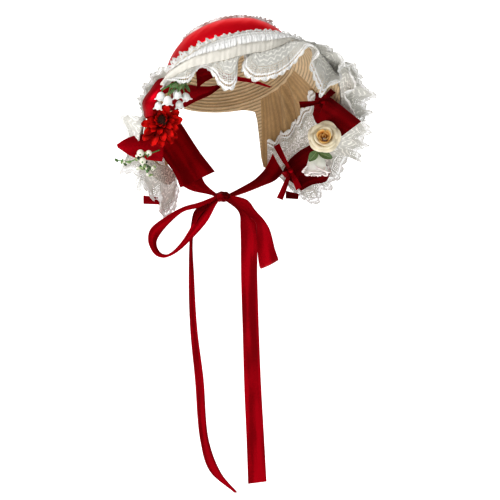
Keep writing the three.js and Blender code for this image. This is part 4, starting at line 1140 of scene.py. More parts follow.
def lace_tile(width, depth, notch, tip, picots, holes, cords, grain):
    """One flat scallop. x runs along the edge and y inwards from its mean line. Returns points, triangles and rims."""
    xs = np.linspace(0, width, picots * 4 + 1)
    edge = notch - (notch + tip) * np.sin(np.pi * xs / width) ** 0.8 - 0.5 * np.abs(np.sin(picots * np.pi * xs / width))
    side = np.linspace(notch, depth, max(3, int((depth - notch) / grain)) + 1)[1:-1]
    top = np.linspace(0, width, int(width / grain) + 1)
    loop = [(x, y) for x, y in zip(xs, edge)] + [(width, y) for y in side]
    loop += [(x, depth) for x in top[::-1]] + [(0.0, y) for y in side[::-1]]
    points, edges = list(loop), [(i, (i + 1) % len(loop)) for i in range(len(loop))]
    rims = [1.0] * len(xs) + [0.3] * (len(loop) - len(xs))
    outlines = []
    for x, y, rx, ry, sides, phase in holes:
        turns = [phase + 2 * math.pi * k / sides for k in range(sides)]
        ring = [(x + rx * math.cos(a), y + ry * math.sin(a)) for a in turns]
        first = len(points)
        points += ring
        rims += [1.0] * sides
        edges += [(first + k, first + (k + 1) % sides) for k in range(sides)]
        outlines.append(ring)
    across = np.arange(grain / 2, width, grain)
    loose = np.concatenate([
        np.stack([x.ravel(), y.ravel()], -1)
        for x, y in (np.meshgrid(across, rows) for rows in (np.arange(-tip, depth, grain), *([c] for c in cords)))
    ])
    keep = (loose[:, 1] > np.interp(loose[:, 0], xs, edge) + 0.55) & (loose[:, 1] < depth - 0.3)
    keep &= (loose[:, 0] > 0.3) & (loose[:, 0] < width - 0.3)
    for x, y, rx, ry, sides, phase in holes:
        keep &= ((loose[:, 0] - x) / (rx + 0.45)) ** 2 + ((loose[:, 1] - y) / (ry + 0.45)) ** 2 > 1
    loose = loose[keep]
    near_cord = (np.abs(loose[:, 1:] - np.array(cords)) < 0.35).any(1)
    points += [tuple(p) for p in loose]
    rims += [1.2 if near else 0.0 for near in near_cord]
    out, _, faces, origins, _, _ = delaunay_2d_cdt([Vector(p) for p in points], edges, [], 0, 1e-4)
    rim = np.array([max([rims[k] for k in o] or [0.0]) for o in origins])
    out = np.array([tuple(p) for p in out])
    triangles = np.array([f for f in faces if len(f) == 3])
    centres = out[triangles].mean(1)
    good = centres[:, 1] > np.interp(centres[:, 0], xs, edge)
    for ring in outlines:
        good &= ~inside(centres, ring)
    triangles = triangles[good]
    a, b, c = (out[triangles[:, k]] for k in range(3))
    area = (b[:, 0] - a[:, 0]) * (c[:, 1] - a[:, 1]) - (b[:, 1] - a[:, 1]) * (c[:, 0] - a[:, 0])
    broad = np.abs(area) > LEAST_TRIANGLE
    triangles, area = triangles[broad], area[broad]
    triangles[area < 0] = triangles[area < 0][:, ::-1]
    return out, triangles, rim


QUARTER = math.pi / 4


def border_tile():
    """The deep border: picots, a ladder, an eyelet flower and a net in each scallop."""
    w, flower, petal = 12.0, 11.6, 2.35
    holes = [((k + 0.5) * w / 5, 5.0, 1.3, 1.75, 4, QUARTER) for k in range(5)]
    holes += [(w / 2, 1.4, 0.7, 0.6, 6, 0), (w * 0.24, 2.1, 0.5, 0.45, 5, 0), (w * 0.76, 2.1, 0.5, 0.45, 5, 0)]
    holes += [(w / 2, flower, 0.85, 0.85, 6, 0)]
    holes += [
        (w / 2 + petal * math.cos(a), flower + petal * math.sin(a), 0.9, 0.9, 5, a)
        for a in np.arange(6) * math.pi / 3 + 0.5
    ]
    holes += [(w * f, y, 0.85, 0.95, 5, 0) for f in (0.1, 0.9) for y in (8.9, flower, 14.3)]
    holes += [((k + 0.5) * w / 5, 17.2, 0.95, 0.95, 5, 0) for k in range(5)]
    return w, lace_tile(w, 20.0, 2.4, 1.4, 6, holes, (3.0, 7.1, 19.0), 1.7)


def edging_tile():
    """The narrow edging: a row of eyelets over small scallops."""
    w = 7.0
    holes = [((k + 0.5) * w / 3, 4.5, 0.72, 0.8, 6, 0) for k in range(3)]
    holes += [(w / 2, 1.5, 0.85, 0.75, 6, 0)]
    return w, lace_tile(w, 7.0, 1.5, 1.2, 5, holes, (6.3,), 1.1)


# Half the thickness of lace, front and back, and what a thread at a rim adds to it
LACE_HALF, RIM_FRONT, RIM_BACK = 0.15, 0.5, 0.25


def lace_strip(piece, tile, length, place):
    """Repeats a tile along an edge. place takes the length along the edge and the depth inwards, in millimetres."""
    width, (flat, triangles, rim) = tile
    count = max(1, round(length / width))
    fit = length / count
    xs = np.concatenate([flat[:, 0] / width * fit + k * fit for k in range(count)])
    ys = np.tile(flat[:, 1], count)
    rims = np.tile(rim, count)
    faces = np.concatenate([triangles + k * len(flat) for k in range(count)])
    _, first, index = np.unique(np.round(np.stack([xs, ys], -1), 3), axis=0, return_index=True, return_inverse=True)
    xs, ys, rims, faces = xs[first], ys[first], rims[first], index.reshape(-1)[faces]
    points = place(xs, ys)
    d = 0.4
    along = place(np.minimum(xs + d, length), ys) - place(np.maximum(xs - d, 0), ys)
    inward = place(xs, ys + d) - place(xs, ys - d)
    normals = unit(np.cross(along, inward))
    points, faces = thicken(points, faces, normals, LACE_HALF + RIM_FRONT * rims, LACE_HALF + RIM_BACK * rims)
    piece.add(points, faces, np.concatenate([np.stack([xs, ys], -1)] * 2), thread_material())


def measured(place, start, end, step=0.1):
    """Lengths along an edge, and the degrees that they fall at."""
    degrees = np.arange(start, end + step / 2, step)
    return lengths_along(place(degrees)), degrees


def outwards(around):
    """The way that a puffed or gathered edge stands off the brim."""
    return unit(brim_out(around) * 0.85 + UP * 0.35)


def table_line(rows, around):
    return seen(*(smooth(rows, k, around) for k in (1, 2, 3)))


class Hem:
    """A folded hem through the rows of a table, and the line that its cloth hangs from."""

    def __init__(self, rows, joint):
        fine = np.linspace(0, 1, 6001)
        self.line = curve_through(seen_rows(rows[:, 1:]), fine)
        self.around = np.interp(fine, np.linspace(0, 1, len(rows)), rows[:, 0])
        self.lengths = lengths_along(self.line)
        self.length = self.lengths[-1]
        self.joint = joint

    def ends(self, x):
        """The hem, the line above it and the degrees there, at a length along the hem."""
        hem = np.stack([np.interp(x, self.lengths, self.line[:, k]) for k in range(3)], -1)
        around = np.interp(x, self.lengths, self.around)
        return hem, self.joint(around), around

    def at(self, x, y, depth):
        """The cloth at a length along the hem and a depth inwards; where it is short, the depth is squeezed in."""
        x, y = np.broadcast_arrays(np.asarray(x, float), np.asarray(y, float))
        hem, top, around = self.ends(x)
        span = np.linalg.norm(hem - top, axis=-1)
        share = np.where(y < 0, y / np.maximum(span, depth), y / np.maximum(span, depth * 1.02))
        out = outwards(around)
        gather = 0.7 * ripple(around, 3.1) * np.clip(share, 0, 1) ** 2
        flutter = (1.1 * ripple(x, 17.0, 1.1) + 0.8 * ripple(x, 7.3, 0.4)) * np.clip(1 - share, 0, 1) ** 2
        swell = 0.11 * span * np.sin(np.pi * np.clip(share, 0, 1)) + gather + flutter
        return hem + (top - hem) * share[..., None] + out * swell[..., None]


NET_STEP, NET_LAP = 2.4, 0.8


def folded_cloth(piece, hem, tile):
    """Lace along the hem, and net from there up to the line that it hangs from, lapped a little under the lace."""
    depth = tile[1][0][:, 1].max()
    lace_strip(piece, tile, hem.length, lambda x, y: hem.at(x, y, depth))
    x = np.linspace(0, hem.length, int(hem.length / NET_STEP))
    low, top, _ = hem.ends(x)
    whole = np.maximum(np.linalg.norm(low - top, axis=-1), depth * 1.03)
    y = depth - NET_LAP + (whole - depth + NET_LAP)[:, None] * np.linspace(0, 1, 8)[None]
    grid = hem.at(np.broadcast_to(x[:, None], y.shape), y, depth)
    grid = grid - outwards(np.interp(x, hem.lengths, hem.around))[:, None] * 0.3
    uv = np.stack([np.broadcast_to(x[:, None], y.shape), y], -1)
    piece.sheet(grid, 0.5, uv, net_material())


# Where the front ruffle is gathered: degrees, then share of the brim's depth
GATHER_LINE = np.array([
    (-121, 0.93), (-62, 0.93), (-45, 0.95), (-25, 1.0), (15, 1.0), (50, 0.93), (118, 0.93),
], float)
# How far the padding fades: degrees, then share
PUFF_FADE = np.array([
    (-121, 0.72), (-98, 0.78), (-75, 0.5), (-55, 0.05), (-30, 0.25), (0, 0.4), (26, 0.95), (118, 0.95),
], float)


def padded_ground(around, down):
    """The puffed cloth under the gathering line: 0 at the line and 1 at the lace."""
    around, down = np.broadcast_arrays(np.asarray(around, float), np.asarray(down, float))
    top = brim_point(around, smooth(GATHER_LINE, 1, around), LACE_LIFT)
    foot = table_line(FRONT_JOINT, around)
    puff = PUFF * (1 - smooth(PUFF_FADE, 1, around))
    control = (top + foot) / 2 + outwards(around) * (2 * puff)[..., None]
    t = down[..., None]
    return top * (1 - t) ** 2 + control * (2 * t * (1 - t)) + foot * t ** 2


def build_front_ruffle():
    def joint(around):
        flat = smooth(PUFF_FADE, 1, around)
        return table_line(FRONT_JOINT, around) - outwards(around) * (1.6 - 1.1 * flat)[..., None]

    hem = Hem(FRONT_HEM, joint)
    piece = Piece("front_ruffle_lace")
    folded_cloth(piece, hem, border_tile())
    # The padded ground between the gathering line and the lace
    around = np.arange(FRONT_HEM[0, 0], FRONT_HEM[-1, 0] + 0.1, 0.7)
    t = np.linspace(0, 1, 17)
    out = outwards(around)
    puff = 1 - smooth(PUFF_FADE, 1, around)
    grid = padded_ground(around[:, None], t[None])
    a = np.broadcast_to(around[:, None], grid.shape[:2])
    gather = 0.75 * ripple(a, 3.3) * (1 - 0.75 * np.sin(np.pi * t))[None] * (t > 0)[None]
    soft = 0.9 * ripple(a, 13.0, 0.6) * np.sin(np.pi * t)[None]
    grid = grid + out[:, None] * (gather + soft)[..., None]
    turned_in = grid[:, -1] - out * (0.3 + 2.1 * puff)[:, None] + UP * 0.5
    grid = np.concatenate([grid, turned_in[:, None]], 1)
    length = lengths_along(grid[:, 8])
    uv = np.stack(np.broadcast_arrays(length[:, None], np.linspace(0, 34, grid.shape[1])[None]), -1)
    # Worked cloth on both sides of the face, and plain cloth over the brow
    cloths = ((-122, -74, lining_material("ground")), (-75, 27, ground_material()), (26, 119, lining_material()))
    for start, end, cloth in cloths:
        part = (around >= start) & (around <= end)
        piece.sheet(grid[part], 0.6, uv[part], cloth)
    made = piece.finish("lace", "front_ruffle")


def back_ruffle(name, target, rows, tile):
    piece = Piece(name)
    hem = Hem(rows, lambda around: brim_point(around, BACK_TURN, LACE_LIFT))
    folded_cloth(piece, hem, tile)
    around = np.linspace(rows[0, 0], rows[-1, 0], int(abs(rows[-1, 0] - rows[0, 0]) / 0.8) + 2)
    line = BACK_LINE + (BACK_TURN - BACK_LINE) * np.linspace(0, 1, 5)
    a, t = np.meshgrid(around, line, indexing="ij")
    grid = brim_point(a, t, LACE_LIFT + 0.6 * ripple(a, 3.1))
    piece.sheet(grid, 0.5, np.stack([a * 1.5, t * 80], -1), ground_material())
    made = piece.finish("lace", target)


def build_back_ruffles():
    back_ruffle(
        "back_ruffle_rose_lace", "back_ruffle_rose_side", BACK_HEM_ROSE_SIDE, border_tile())
    back_ruffle(
        "back_ruffle_daisy_lace", "back_ruffle_daisy_side", BACK_HEM_DAISY_SIDE, edging_tile())


# The heading: where it starts and ends, in degrees, and its waves
HEADING_START, HEADING_END, HEADING_WAVES = -63.0, 27.0, 21
# Its foot and tip from the gathering line and the swing of its tip, as shares of the brim's depth
HEADING_FOOT, HEADING_TIP, HEADING_SWING = -0.03, -0.02, 0.02
# How far its tip rises off the straw: degrees, then millimetres
HEADING_RISE = np.array([(-63, 8), (-52, 7), (-42, 5), (-32, 3), (-22, 2), (0, 2), (27, 3)], float)
# How far the lower row of lace lies down over the padding: degrees, then share
LAID_LACE = np.array([(-63, 0.35), (-50, 0.6), (-30, 0.62), (0, 0.6), (27, 0.45)], float)
# How far the crown's frill stands off the crown: degrees, then millimetres
CROWN_FRILL = np.array([(-180, 10), (-100, 7), (-40, 4), (10, 5), (50, 13), (100, 17), (180, 10)], float)
FRILL_WAVES = 12
# The depths of the two narrow laces
EDGING_DEPTH, LAID_DEPTH = 7.2, 7.0


def laid_tile():
    """A close edging for the lower row of the heading: two rows of eyelets over small scallops."""
    w = 5.0
    holes = [(w * 0.25, 4.9, 0.42, 0.42, 5, 0), (w * 0.75, 4.9, 0.42, 0.42, 5, 0), (w / 2, 3.0, 0.6, 0.5, 5, 0)]
    return w, lace_tile(w, 7.0, 0.9, 1.0, 4, holes, (6.3,), 0.9)


def build_heading():
    """The frilled heading over the gathering line of the front ruffle, and a second row laid over the padding."""
    def frill(around, up):
        turns = (around - HEADING_START) / (HEADING_END - HEADING_START) * HEADING_WAVES
        wave = np.sin(turns * 2 * np.pi + 0.5 * np.sin(around * 0.9))
        line = smooth(GATHER_LINE, 1, around)
        foot = brim_point(around, line + HEADING_FOOT + 0 * up, STRAW_WALL / 2 + CLEARANCE)
        rise = smooth(HEADING_RISE, 1, around) * (1 + 0.25 * wave) + 0.9 * ripple(around, 4.6, 0.3)
        reach = line + HEADING_TIP + HEADING_SWING * wave + 0.012 * ripple(around, 2.3)
        tip = brim_point(around, reach, STRAW_WALL / 2 + 2.5 + rise)
        return foot + (tip - foot) * np.asarray(up)[..., None]

    def laid(around, down):
        gather = 0.8 * ripple(around, 3.3) + 0.5 * ripple(around, 1.7, 0.4)
        return padded_ground(around, down) + outwards(around) * (1.5 + gather * (0.3 + down))[..., None]

    def place_laid(x, y):
        around = np.interp(x, laid_lengths, laid_degrees)
        deep = np.clip(1 - np.asarray(y) / LAID_DEPTH, 0, 1)
        return laid(around, 0.02 + deep * smooth(LAID_LACE, 1, around))

    piece = Piece("heading_lace")
    frill_strip(piece, frill, HEADING_START, HEADING_END)
    laid_lengths, laid_degrees = measured(lambda a: laid(a, 0.5 + 0 * a), HEADING_START, HEADING_END)
    lace_strip(piece, laid_tile(), laid_lengths[-1], place_laid)
    made = piece.finish("lace", "ruffle_heading")


def frill_strip(piece, surface, start, end):
    """Narrow lace up a surface that takes degrees and a share of its height, with its picots on top."""
    lengths, degrees = measured(lambda a: surface(a, np.ones_like(a)), start, end)
    lace_strip(
        piece, edging_tile(), lengths[-1],
        lambda x, y: surface(np.interp(x, lengths, degrees), 1 - y / EDGING_DEPTH),
    )


def build_crown_frill():
    def frill(around, up):
        wave = np.sin((around + 180) / 360 * FRILL_WAVES * 2 * np.pi + 0.4 * np.sin(around * 0.13))
        reach = smooth(CROWN_FRILL, 1, around)
        out = unit(crown_point(around, 1.0) - CROWN_FOOT)
        small = 0.1 * ripple(around, 6.0)
        tip = out * (reach * (0.75 + 0.25 * wave + small))[..., None]
        tip = tip + times(reach * (0.55 - 0.25 * wave - small), CROWN_UP)
        return crown_point(around, 0.43, LACE_LIFT) + tip * np.asarray(up)[..., None]

    piece = Piece("crown_frill_lace")
    frill_strip(piece, frill, -180, 180)
    made = piece.finish("lace", "crown_frill")


# The flaps' lining: how far off the straw, and shares of the brim's depth where its upper edge runs
LINING_LIFT = LACE_LIFT + 0.9
LINING_START_FRONT, LINING_START_BACK = 0.4, 0.64
LINING_SCALLOP, LINING_SCALLOPS = 0.03, 4.5


def flap_lace(name, node, side, start, end, tile, lace_depth):
    """The lining of a flap: worked cloth with lace along its upper edge. Side is 1 for the rose's side, or -1."""
    piece = Piece(name)

    def edge_at(u):
        scallop = LINING_SCALLOP * np.cos(u * LINING_SCALLOPS * 2 * np.pi)
        return LINING_START_FRONT + (LINING_START_BACK - LINING_START_FRONT) * u + scallop

    def depth_at(u):
        return (1 - edge_at(u)) * smooth(BRIM, LENGTH, start + (end - start) * u)

    def surface(u, v):
        around = side * (start + (end - start) * u)
        small = 0.5 * ripple(u * 100, 9.0) * np.clip(v * 4, 0, 1)
        along = edge_at(u) + (1 - edge_at(u)) * v
        crease = flap_creases(around, along) if side > 0 else 0
        return brim_point(around, along, crease - LINING_LIFT - small)

    def place(x, y):
        u = np.interp(x, lengths, us)
        return surface(u, y / depth_at(u))

    us = np.linspace(0, 1, 401)
    lengths = lengths_along(surface(us, np.zeros_like(us)))
    lace_strip(piece, tile, lengths[-1], place)
    u, v = np.meshgrid(np.linspace(0, 1, 90), np.linspace(0, 1, 26), indexing="ij")
    first = lace_depth / depth_at(u)
    grid = surface(u, first + (1 - first) * v)
    grid = grid + grid_normals(grid).reshape(grid.shape) * 0.25 * side
    piece.sheet(grid, 0.5, np.stack([u * 90, v * 50], -1), lining_material())
    made = piece.finish("lace", node)


def build_flap_lace():
    flap_lace("flap_lace_rose", "flap_lace_rose_side", 1, 76, 121, border_tile(), 13.5)
    flap_lace("flap_lace_daisy", "flap_lace_daisy_side", -1, 90, 118, edging_tile(), 5.8)


# Repeats made with Geometry Nodes

def new_tree(name, *inputs):
    tree = bpy.data.node_groups.new(name, "GeometryNodeTree")
    tree.interface.new_socket("Geometry", in_out="INPUT", socket_type="NodeSocketGeometry")
    for label, kind, value in inputs:
        socket = tree.interface.new_socket(label, in_out="INPUT", socket_type="NodeSocket" + kind)
        if value is not None:
            socket.default_value = value
    tree.interface.new_socket("Geometry", in_out="OUTPUT", socket_type="NodeSocketGeometry")
    start = tree.nodes.new("NodeGroupInput")
    end = tree.nodes.new("NodeGroupOutput")
    realize = tree.nodes.new("GeometryNodeRealizeInstances")
    paint = tree.nodes.new("GeometryNodeSetMaterial")
    tree.links.new(realize.outputs[0], paint.inputs["Geometry"])
    tree.links.new(start.outputs["Material"], paint.inputs["Material"])
    tree.links.new(paint.outputs[0], end.inputs[0])
    return tree, start, realize.inputs[0]


def node(tree, kind, props=(), **inputs):
    return fill(tree, tree.nodes.new(kind), props, inputs)


def number(tree, what, *values):
    """One step of arithmetic, as the output that holds its result."""
    given = {f"i{k}": value for k, value in enumerate(values)}
    return node(tree, "ShaderNodeMath", {"operation": what}, **given).outputs[0]


def random_number(tree, seed, low, high):
    made = node(tree, "FunctionNodeRandomValue", {"data_type": "FLOAT"}, Seed=seed, i2=low, i3=high)
    return made.outputs[1]


def grow(name, mesh, tree, **values):
    """Runs a tree on a mesh and keeps the result as a plain object."""
    holder = bpy.data.objects.new(name + "_source", mesh)
    bpy.context.scene.collection.objects.link(holder)
    modifier = holder.modifiers.new("Grow", "NODES")
    modifier.node_group = tree
    labels = {item.name: item.identifier for item in tree.interface.items_tree if item.in_out == "INPUT"}
    for label, value in values.items():
        modifier[labels[label.replace("_", " ")]] = value
    bpy.context.view_layer.update()
    graph = bpy.context.evaluated_depsgraph_get()
    result = bpy.data.meshes.new_from_object(holder.evaluated_get(graph), depsgraph=graph)
    holder.modifiers.clear()
    bpy.data.objects.remove(holder)
    result.name = name
    return result


def path_mesh(points):
    mesh = bpy.data.meshes.new("path")
    mesh.from_pydata((np.asarray(points) * MM).tolist(), [(i, i + 1) for i in range(len(points) - 1)], [])
    return mesh


def stitch_tree():
    if "Running stitch" in bpy.data.node_groups:
        return bpy.data.node_groups["Running stitch"]
    tree, start, end = new_tree(
        "Running stitch",
        ("Spacing", "Float", 0.004), ("Stitch", "Float", 0.0026), ("Thread", "Float", 0.0003),
        ("Material", "Material", None),
    )
    curve = node(tree, "GeometryNodeMeshToCurve", i0=start.outputs["Geometry"])
    by_length = {"mode": "LENGTH"}
    even = node(
        tree, "GeometryNodeResampleCurve", by_length, Curve=curve.outputs[0], Length=start.outputs["Spacing"])
    bead = node(tree, "GeometryNodeMeshUVSphere", Segments=6, Rings=4, Radius=1.0)
    thread = start.outputs["Thread"]
    half = number(tree, "MULTIPLY", start.outputs["Stitch"], 0.5)
    size = node(tree, "ShaderNodeCombineXYZ", X=thread, Y=thread, Z=half)
    tangent = node(tree, "GeometryNodeInputTangent")
    turn = node(tree, "FunctionNodeAlignRotationToVector", props={"axis": "Z"}, Vector=tangent.outputs[0])
    put = node(tree, "GeometryNodeInstanceOnPoints", Points=even.outputs[0], Instance=bead.outputs[0],
               Rotation=turn.outputs[0], Scale=size.outputs[0])
    tree.links.new(put.outputs[0], end)
    return tree


def dress(name, mesh, slot, *nodes):
    made = bpy.data.objects.new(name, mesh)
    mesh.shade_smooth()
    bpy.context.scene.collection.objects.link(made)
    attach(made, "root")
    if nodes:
        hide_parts(*nodes)


def stitches(name, line, kind):
    mesh = grow(name, path_mesh(line), stitch_tree(), Spacing=0.0042, Stitch=0.0026, Thread=0.0003,
                Material=satin_material(kind))
    dress(name, mesh, "hatband_satin")


def ring_tree():
    if "Ring of petals" in bpy.data.node_groups:
        return bpy.data.node_groups["Ring of petals"]
    tree, start, end = new_tree(
        "Ring of petals",
        ("Count", "Int", 12), ("Radius", "Float", 0.005), ("Lift", "Float", 0.3), ("Turn", "Float", 0.0),
        ("Spread", "Float", 0.15), ("Seed", "Int", 1), ("Material", "Material", None),
    )
    count, spread, seed = (start.outputs[key] for key in ("Count", "Spread", "Seed"))
    points = node(tree, "GeometryNodePoints", Count=count)
    share = number(tree, "DIVIDE", node(tree, "GeometryNodeInputIndex").outputs[0], count)
    around = number(tree, "MULTIPLY_ADD", share, 2 * math.pi, start.outputs["Turn"])
    jitter = random_number(tree, seed, number(tree, "MULTIPLY", spread, -1.0), spread)
    angle = number(tree, "ADD", around, jitter)
    tipped = number(tree, "MULTIPLY_ADD", jitter, 1.4, start.outputs["Lift"])
    rotation = node(tree, "ShaderNodeCombineXYZ", X=jitter, Y=number(tree, "MULTIPLY", tipped, -1.0), Z=angle)
    circle = node(tree, "ShaderNodeCombineXYZ", X=number(tree, "COSINE", angle), Y=number(tree, "SINE", angle))
    scaled = {"operation": "SCALE"}
    place = node(tree, "ShaderNodeVectorMath", scaled, i0=circle.outputs[0], Scale=start.outputs["Radius"])
    join(tree, points.inputs["Position"], place.outputs[0])
    put = node(
        tree, "GeometryNodeInstanceOnPoints", Points=points.outputs[0], Instance=start.outputs["Geometry"],
        Rotation=rotation.outputs[0], Scale=random_number(tree, seed, 0.88, 1.08),
    )
    tree.links.new(put.outputs[0], end)
    return tree


# Flowers

PETAL_WALL = 0.4


def petal_mesh(length, width, cup, curl):
    """One round-ended petal along +X, facing +Z, cupped across and curled along, mapped from its root to its tip."""
    u, v = np.meshgrid(np.linspace(0, 1, 10), np.linspace(-1, 1, 7), indexing="ij")
    half = width / 2 * (0.34 + 0.66 * np.sin(np.pi / 2 * np.clip(u / 0.62, 0, 1)) ** 1.2)
    half = half * np.sqrt(np.clip(1 - np.clip((u - 0.6) / 0.415, 0, 1) ** 2.4, 0, 1))
    z = cup * v**2 * (1 - 0.4 * u) + curl * length * (u**2 - 0.25 * u) + 0.35 * np.cos(3 * np.pi * v) * (1 - u)
    piece = Piece("petal")
    grid = np.stack([length * u, half * v, z], -1)
    piece.sheet(grid, PETAL_WALL, np.stack([v * 0.5 + 0.5, u], -1), blank_material())
    made = piece.object(weld=0.02)
    mesh = made.data
    bpy.data.objects.remove(made)
    return mesh


@kept
def blank_material():
    """Stands in until a ring of petals gets its own material."""
    return bpy.data.materials.new("Petal blank")


def join_meshes(name, meshes, matrix):
    """Joins meshes, in metres, and moves them by a frame in millimetres."""
    materials = list(dict.fromkeys(m for mesh in meshes for m in mesh.materials if m))
    work = bmesh.new()
    slots = []
    for mesh in meshes:
        work.from_mesh(mesh)
        remap = [materials.index(m) if m else 0 for m in mesh.materials]
        slots += [remap[min(p.material_index, len(remap) - 1)] for p in mesh.polygons]
    joined = bpy.data.meshes.new(name)
    work.to_mesh(joined)
    work.free()
    for material in materials:
        joined.materials.append(material)
    joined.polygons.foreach_set("material_index", slots)
    scaled = Matrix(matrix)
    scaled.translation = scaled.translation * MM
    joined.transform(scaled)
    joined.update()
    return joined


DAISY_AT = (-81, -105, -118)
# The daisy's rings: petals, radius, length, width, lift, turn, seed and droop
DAISY_RINGS = (
    (12, 4.4, 22.5, 9.6, 0.05, 0.0, 3, 5.0),
    (11, 4.0, 20.0, 9.0, 0.34, 0.27, 5, 3.5),
    (11, 3.6, 15.5, 7.6, 0.66, 0.1, 8, 1.5),
    (9, 3.2, 10.0, 5.6, 1.0, 0.4, 11, 0.0),
)


def build_daisy():
    bright = tuple(bpy.context.scene.bonnet_flowers.daisy)
    # Partly painted shade: the petals turn almost black at their roots and differ widely in brightness petal by petal,
    # partly their own colour and partly painted shade and highlight among the crowded petals
    red = petal_material("Daisy petal", (0.04, 0.001, 0.0005), (0.24, 0.003, 0.002), bright, 0.3, 0.6)
    where = facing(seen(*DAISY_AT), -8, 4)
    rings = []
    for count, radius, length, width, lift, turn, seed, droop in DAISY_RINGS:
        ring = grow("ring", petal_mesh(length, width, 1.6, -0.16), ring_tree(), Count=count, Radius=radius * MM,
                    Lift=lift, Turn=turn, Spread=0.24, Seed=seed, Material=red)
        ring.transform(Matrix.Translation((-0.4 * droop * MM, -droop * MM, (0.5 + lift * 2) * MM)))
        rings.append(ring)
    t, h = round_grid(16, np.linspace(0, 1, 6))
    r = 4 + 5 * h**1.5
    green = plain_material("Sepal green", (0.03, 0.09, 0.02), (0.07, 0.17, 0.05), 0.55, 300.0)
    calyx = Piece("calyx")
    calyx.ring(np.stack([r * np.cos(t), r * np.sin(t), -10 + 10 * h], -1), np.stack([t, h], -1), green)
    base = calyx.object()
    dress("red_daisy_petals", join_meshes("red_daisy_petals", [*rings, base.data], where), "daisy_petal", "red_daisy")
    bpy.data.objects.remove(base)
    # The seeded centre
    brown = plain_material("Seed brown", (0.012, 0.003, 0.001), (0.07, 0.02, 0.006), 0.7, 900.0)
    t, h = round_grid(24, np.linspace(0.02, 1, 9))
    w = h * np.pi / 2
    dome = Piece("dome")
    grid = np.stack([6.3 * np.sin(w) * np.cos(t), 6.3 * np.sin(w) * np.sin(t), 5.2 + 3.2 * np.cos(w)], -1)
    dome.ring(grid, np.stack([t, h], -1), brown)
    source = dome.object()
    seeds = grow("seeds", source.data.copy(), seed_tree(), Density=1.9e6, Seed_size=0.00075, Seed=4, Material=brown)
    dress("daisy_seeds", join_meshes("daisy_seeds", [source.data, seeds], where), "daisy_seed", "daisy_centre")
    bpy.data.objects.remove(source)


def seed_tree():
    if "Seeds on a dome" in bpy.data.node_groups:
        return bpy.data.node_groups["Seeds on a dome"]
    tree, start, end = new_tree(
        "Seeds on a dome",
        ("Density", "Float", 1e6), ("Seed size", "Float", 0.0008), ("Seed", "Int", 4), ("Material", "Material", None),
    )
    scatter = node(
        tree, "GeometryNodeDistributePointsOnFaces", Mesh=start.outputs["Geometry"],
        Density=start.outputs["Density"], Seed=start.outputs["Seed"],
    )
    bead = node(tree, "GeometryNodeMeshUVSphere", Segments=6, Rings=4, Radius=start.outputs["Seed size"])
    put = node(tree, "GeometryNodeInstanceOnPoints", Points=scatter.outputs["Points"], Instance=bead.outputs[0],
               Rotation=scatter.outputs["Rotation"], Scale=(1.0, 1.0, 1.7))
    tree.links.new(put.outputs[0], end)
    return tree


PETAL_THICK = 0.45


def bloom_petal(piece, shape, material, random):
    """A broad petal round the heart: it rises from the inner radius to its domed rim, which rolls outwards."""
    turn, span, inner, outer, low, high, curl = shape
    a, t = np.meshgrid(np.linspace(-1, 1, 15), np.linspace(0, 1, 11), indexing="ij")
    angle = turn + a * span / 2
    outer, high = outer * random.uniform(0.92, 1.06), high + random.uniform(-1.3, 1.3)
    phase, skew = random.uniform(0, 6), random.uniform(-0.1, 0.12)
    rim = 1 - 0.30 * np.abs(a) ** 2.4 + 0.03 * np.sin(5 * a + phase)
    r = inner + (outer - inner) * t**0.8 * rim * (1 + skew * a)
    z = low + (high - low) * np.sin(np.pi / 2 * np.clip(t * 1.12, 0, 1)) * rim
    roll = np.clip(t - 0.72, 0, 1) / 0.28
    r = r + curl * roll**1.5 * 1.5
    z = z - curl * roll**2 * 1.6 + 0.25 * np.sin(3 * a + phase) * t
    shift = random.normal(size=2) * 0.5
    grid = np.stack([r * np.cos(angle) + shift[0], r * np.sin(angle) + shift[1], z], -1)
    piece.sheet(grid, PETAL_THICK, np.stack([a * 0.5 + 0.5, t], -1), material)


def bloom(name, slot, target, layers, frame_at, seed):
    """A flower of rings of petals: count, span, inner and outer radius, low and high end, roll, turn and material."""
    random = np.random.default_rng(seed)
    piece = Piece(name)
    for count, span, inner, outer, low, high, curl, turn, material in layers:
        for k in range(count):
            at = turn + 2 * math.pi * (k + random.uniform(-0.12, 0.12)) / count
            bloom_petal(piece, (at, span, inner, outer, low, high, curl), material, random)
    piece.points = [moved(p, frame_at) for p in piece.points]
    piece.finish(slot, target)


def build_rose():
    cream = petal_material("Rose petal", (0.62, 0.38, 0.13), (0.84, 0.72, 0.46), (0.88, 0.80, 0.62), 0.6)
    amber = petal_material("Rose heart", (0.34, 0.06, 0.004), (0.72, 0.26, 0.03), (0.86, 0.60, 0.24), 0.55)
    layers = (
        (5, 2.2, 5.0, 19.6, -8.0, 9.0, 1.2, 0.0, cream),
        (4, 2.3, 4.5, 16.6, -6.0, 14.0, 0.8, 0.6, cream),
        (3, 2.7, 3.5, 13.0, -4.0, 17.0, 0.4, 1.3, cream),
        (3, 2.3, 2.5, 9.2, 0.0, 17.6, 0.1, 0.3, amber),
        (3, 2.0, 1.5, 6.0, 2.0, 16.8, 0.0, 1.0, amber),
        (2, 3.0, 0.6, 3.0, 4.0, 16.0, 0.0, 0.2, amber),
    )
    bloom("cream_rose", "rose_petal", "rose", layers, facing(seen(129.5, -128.5, -30), -6, 8), 21)


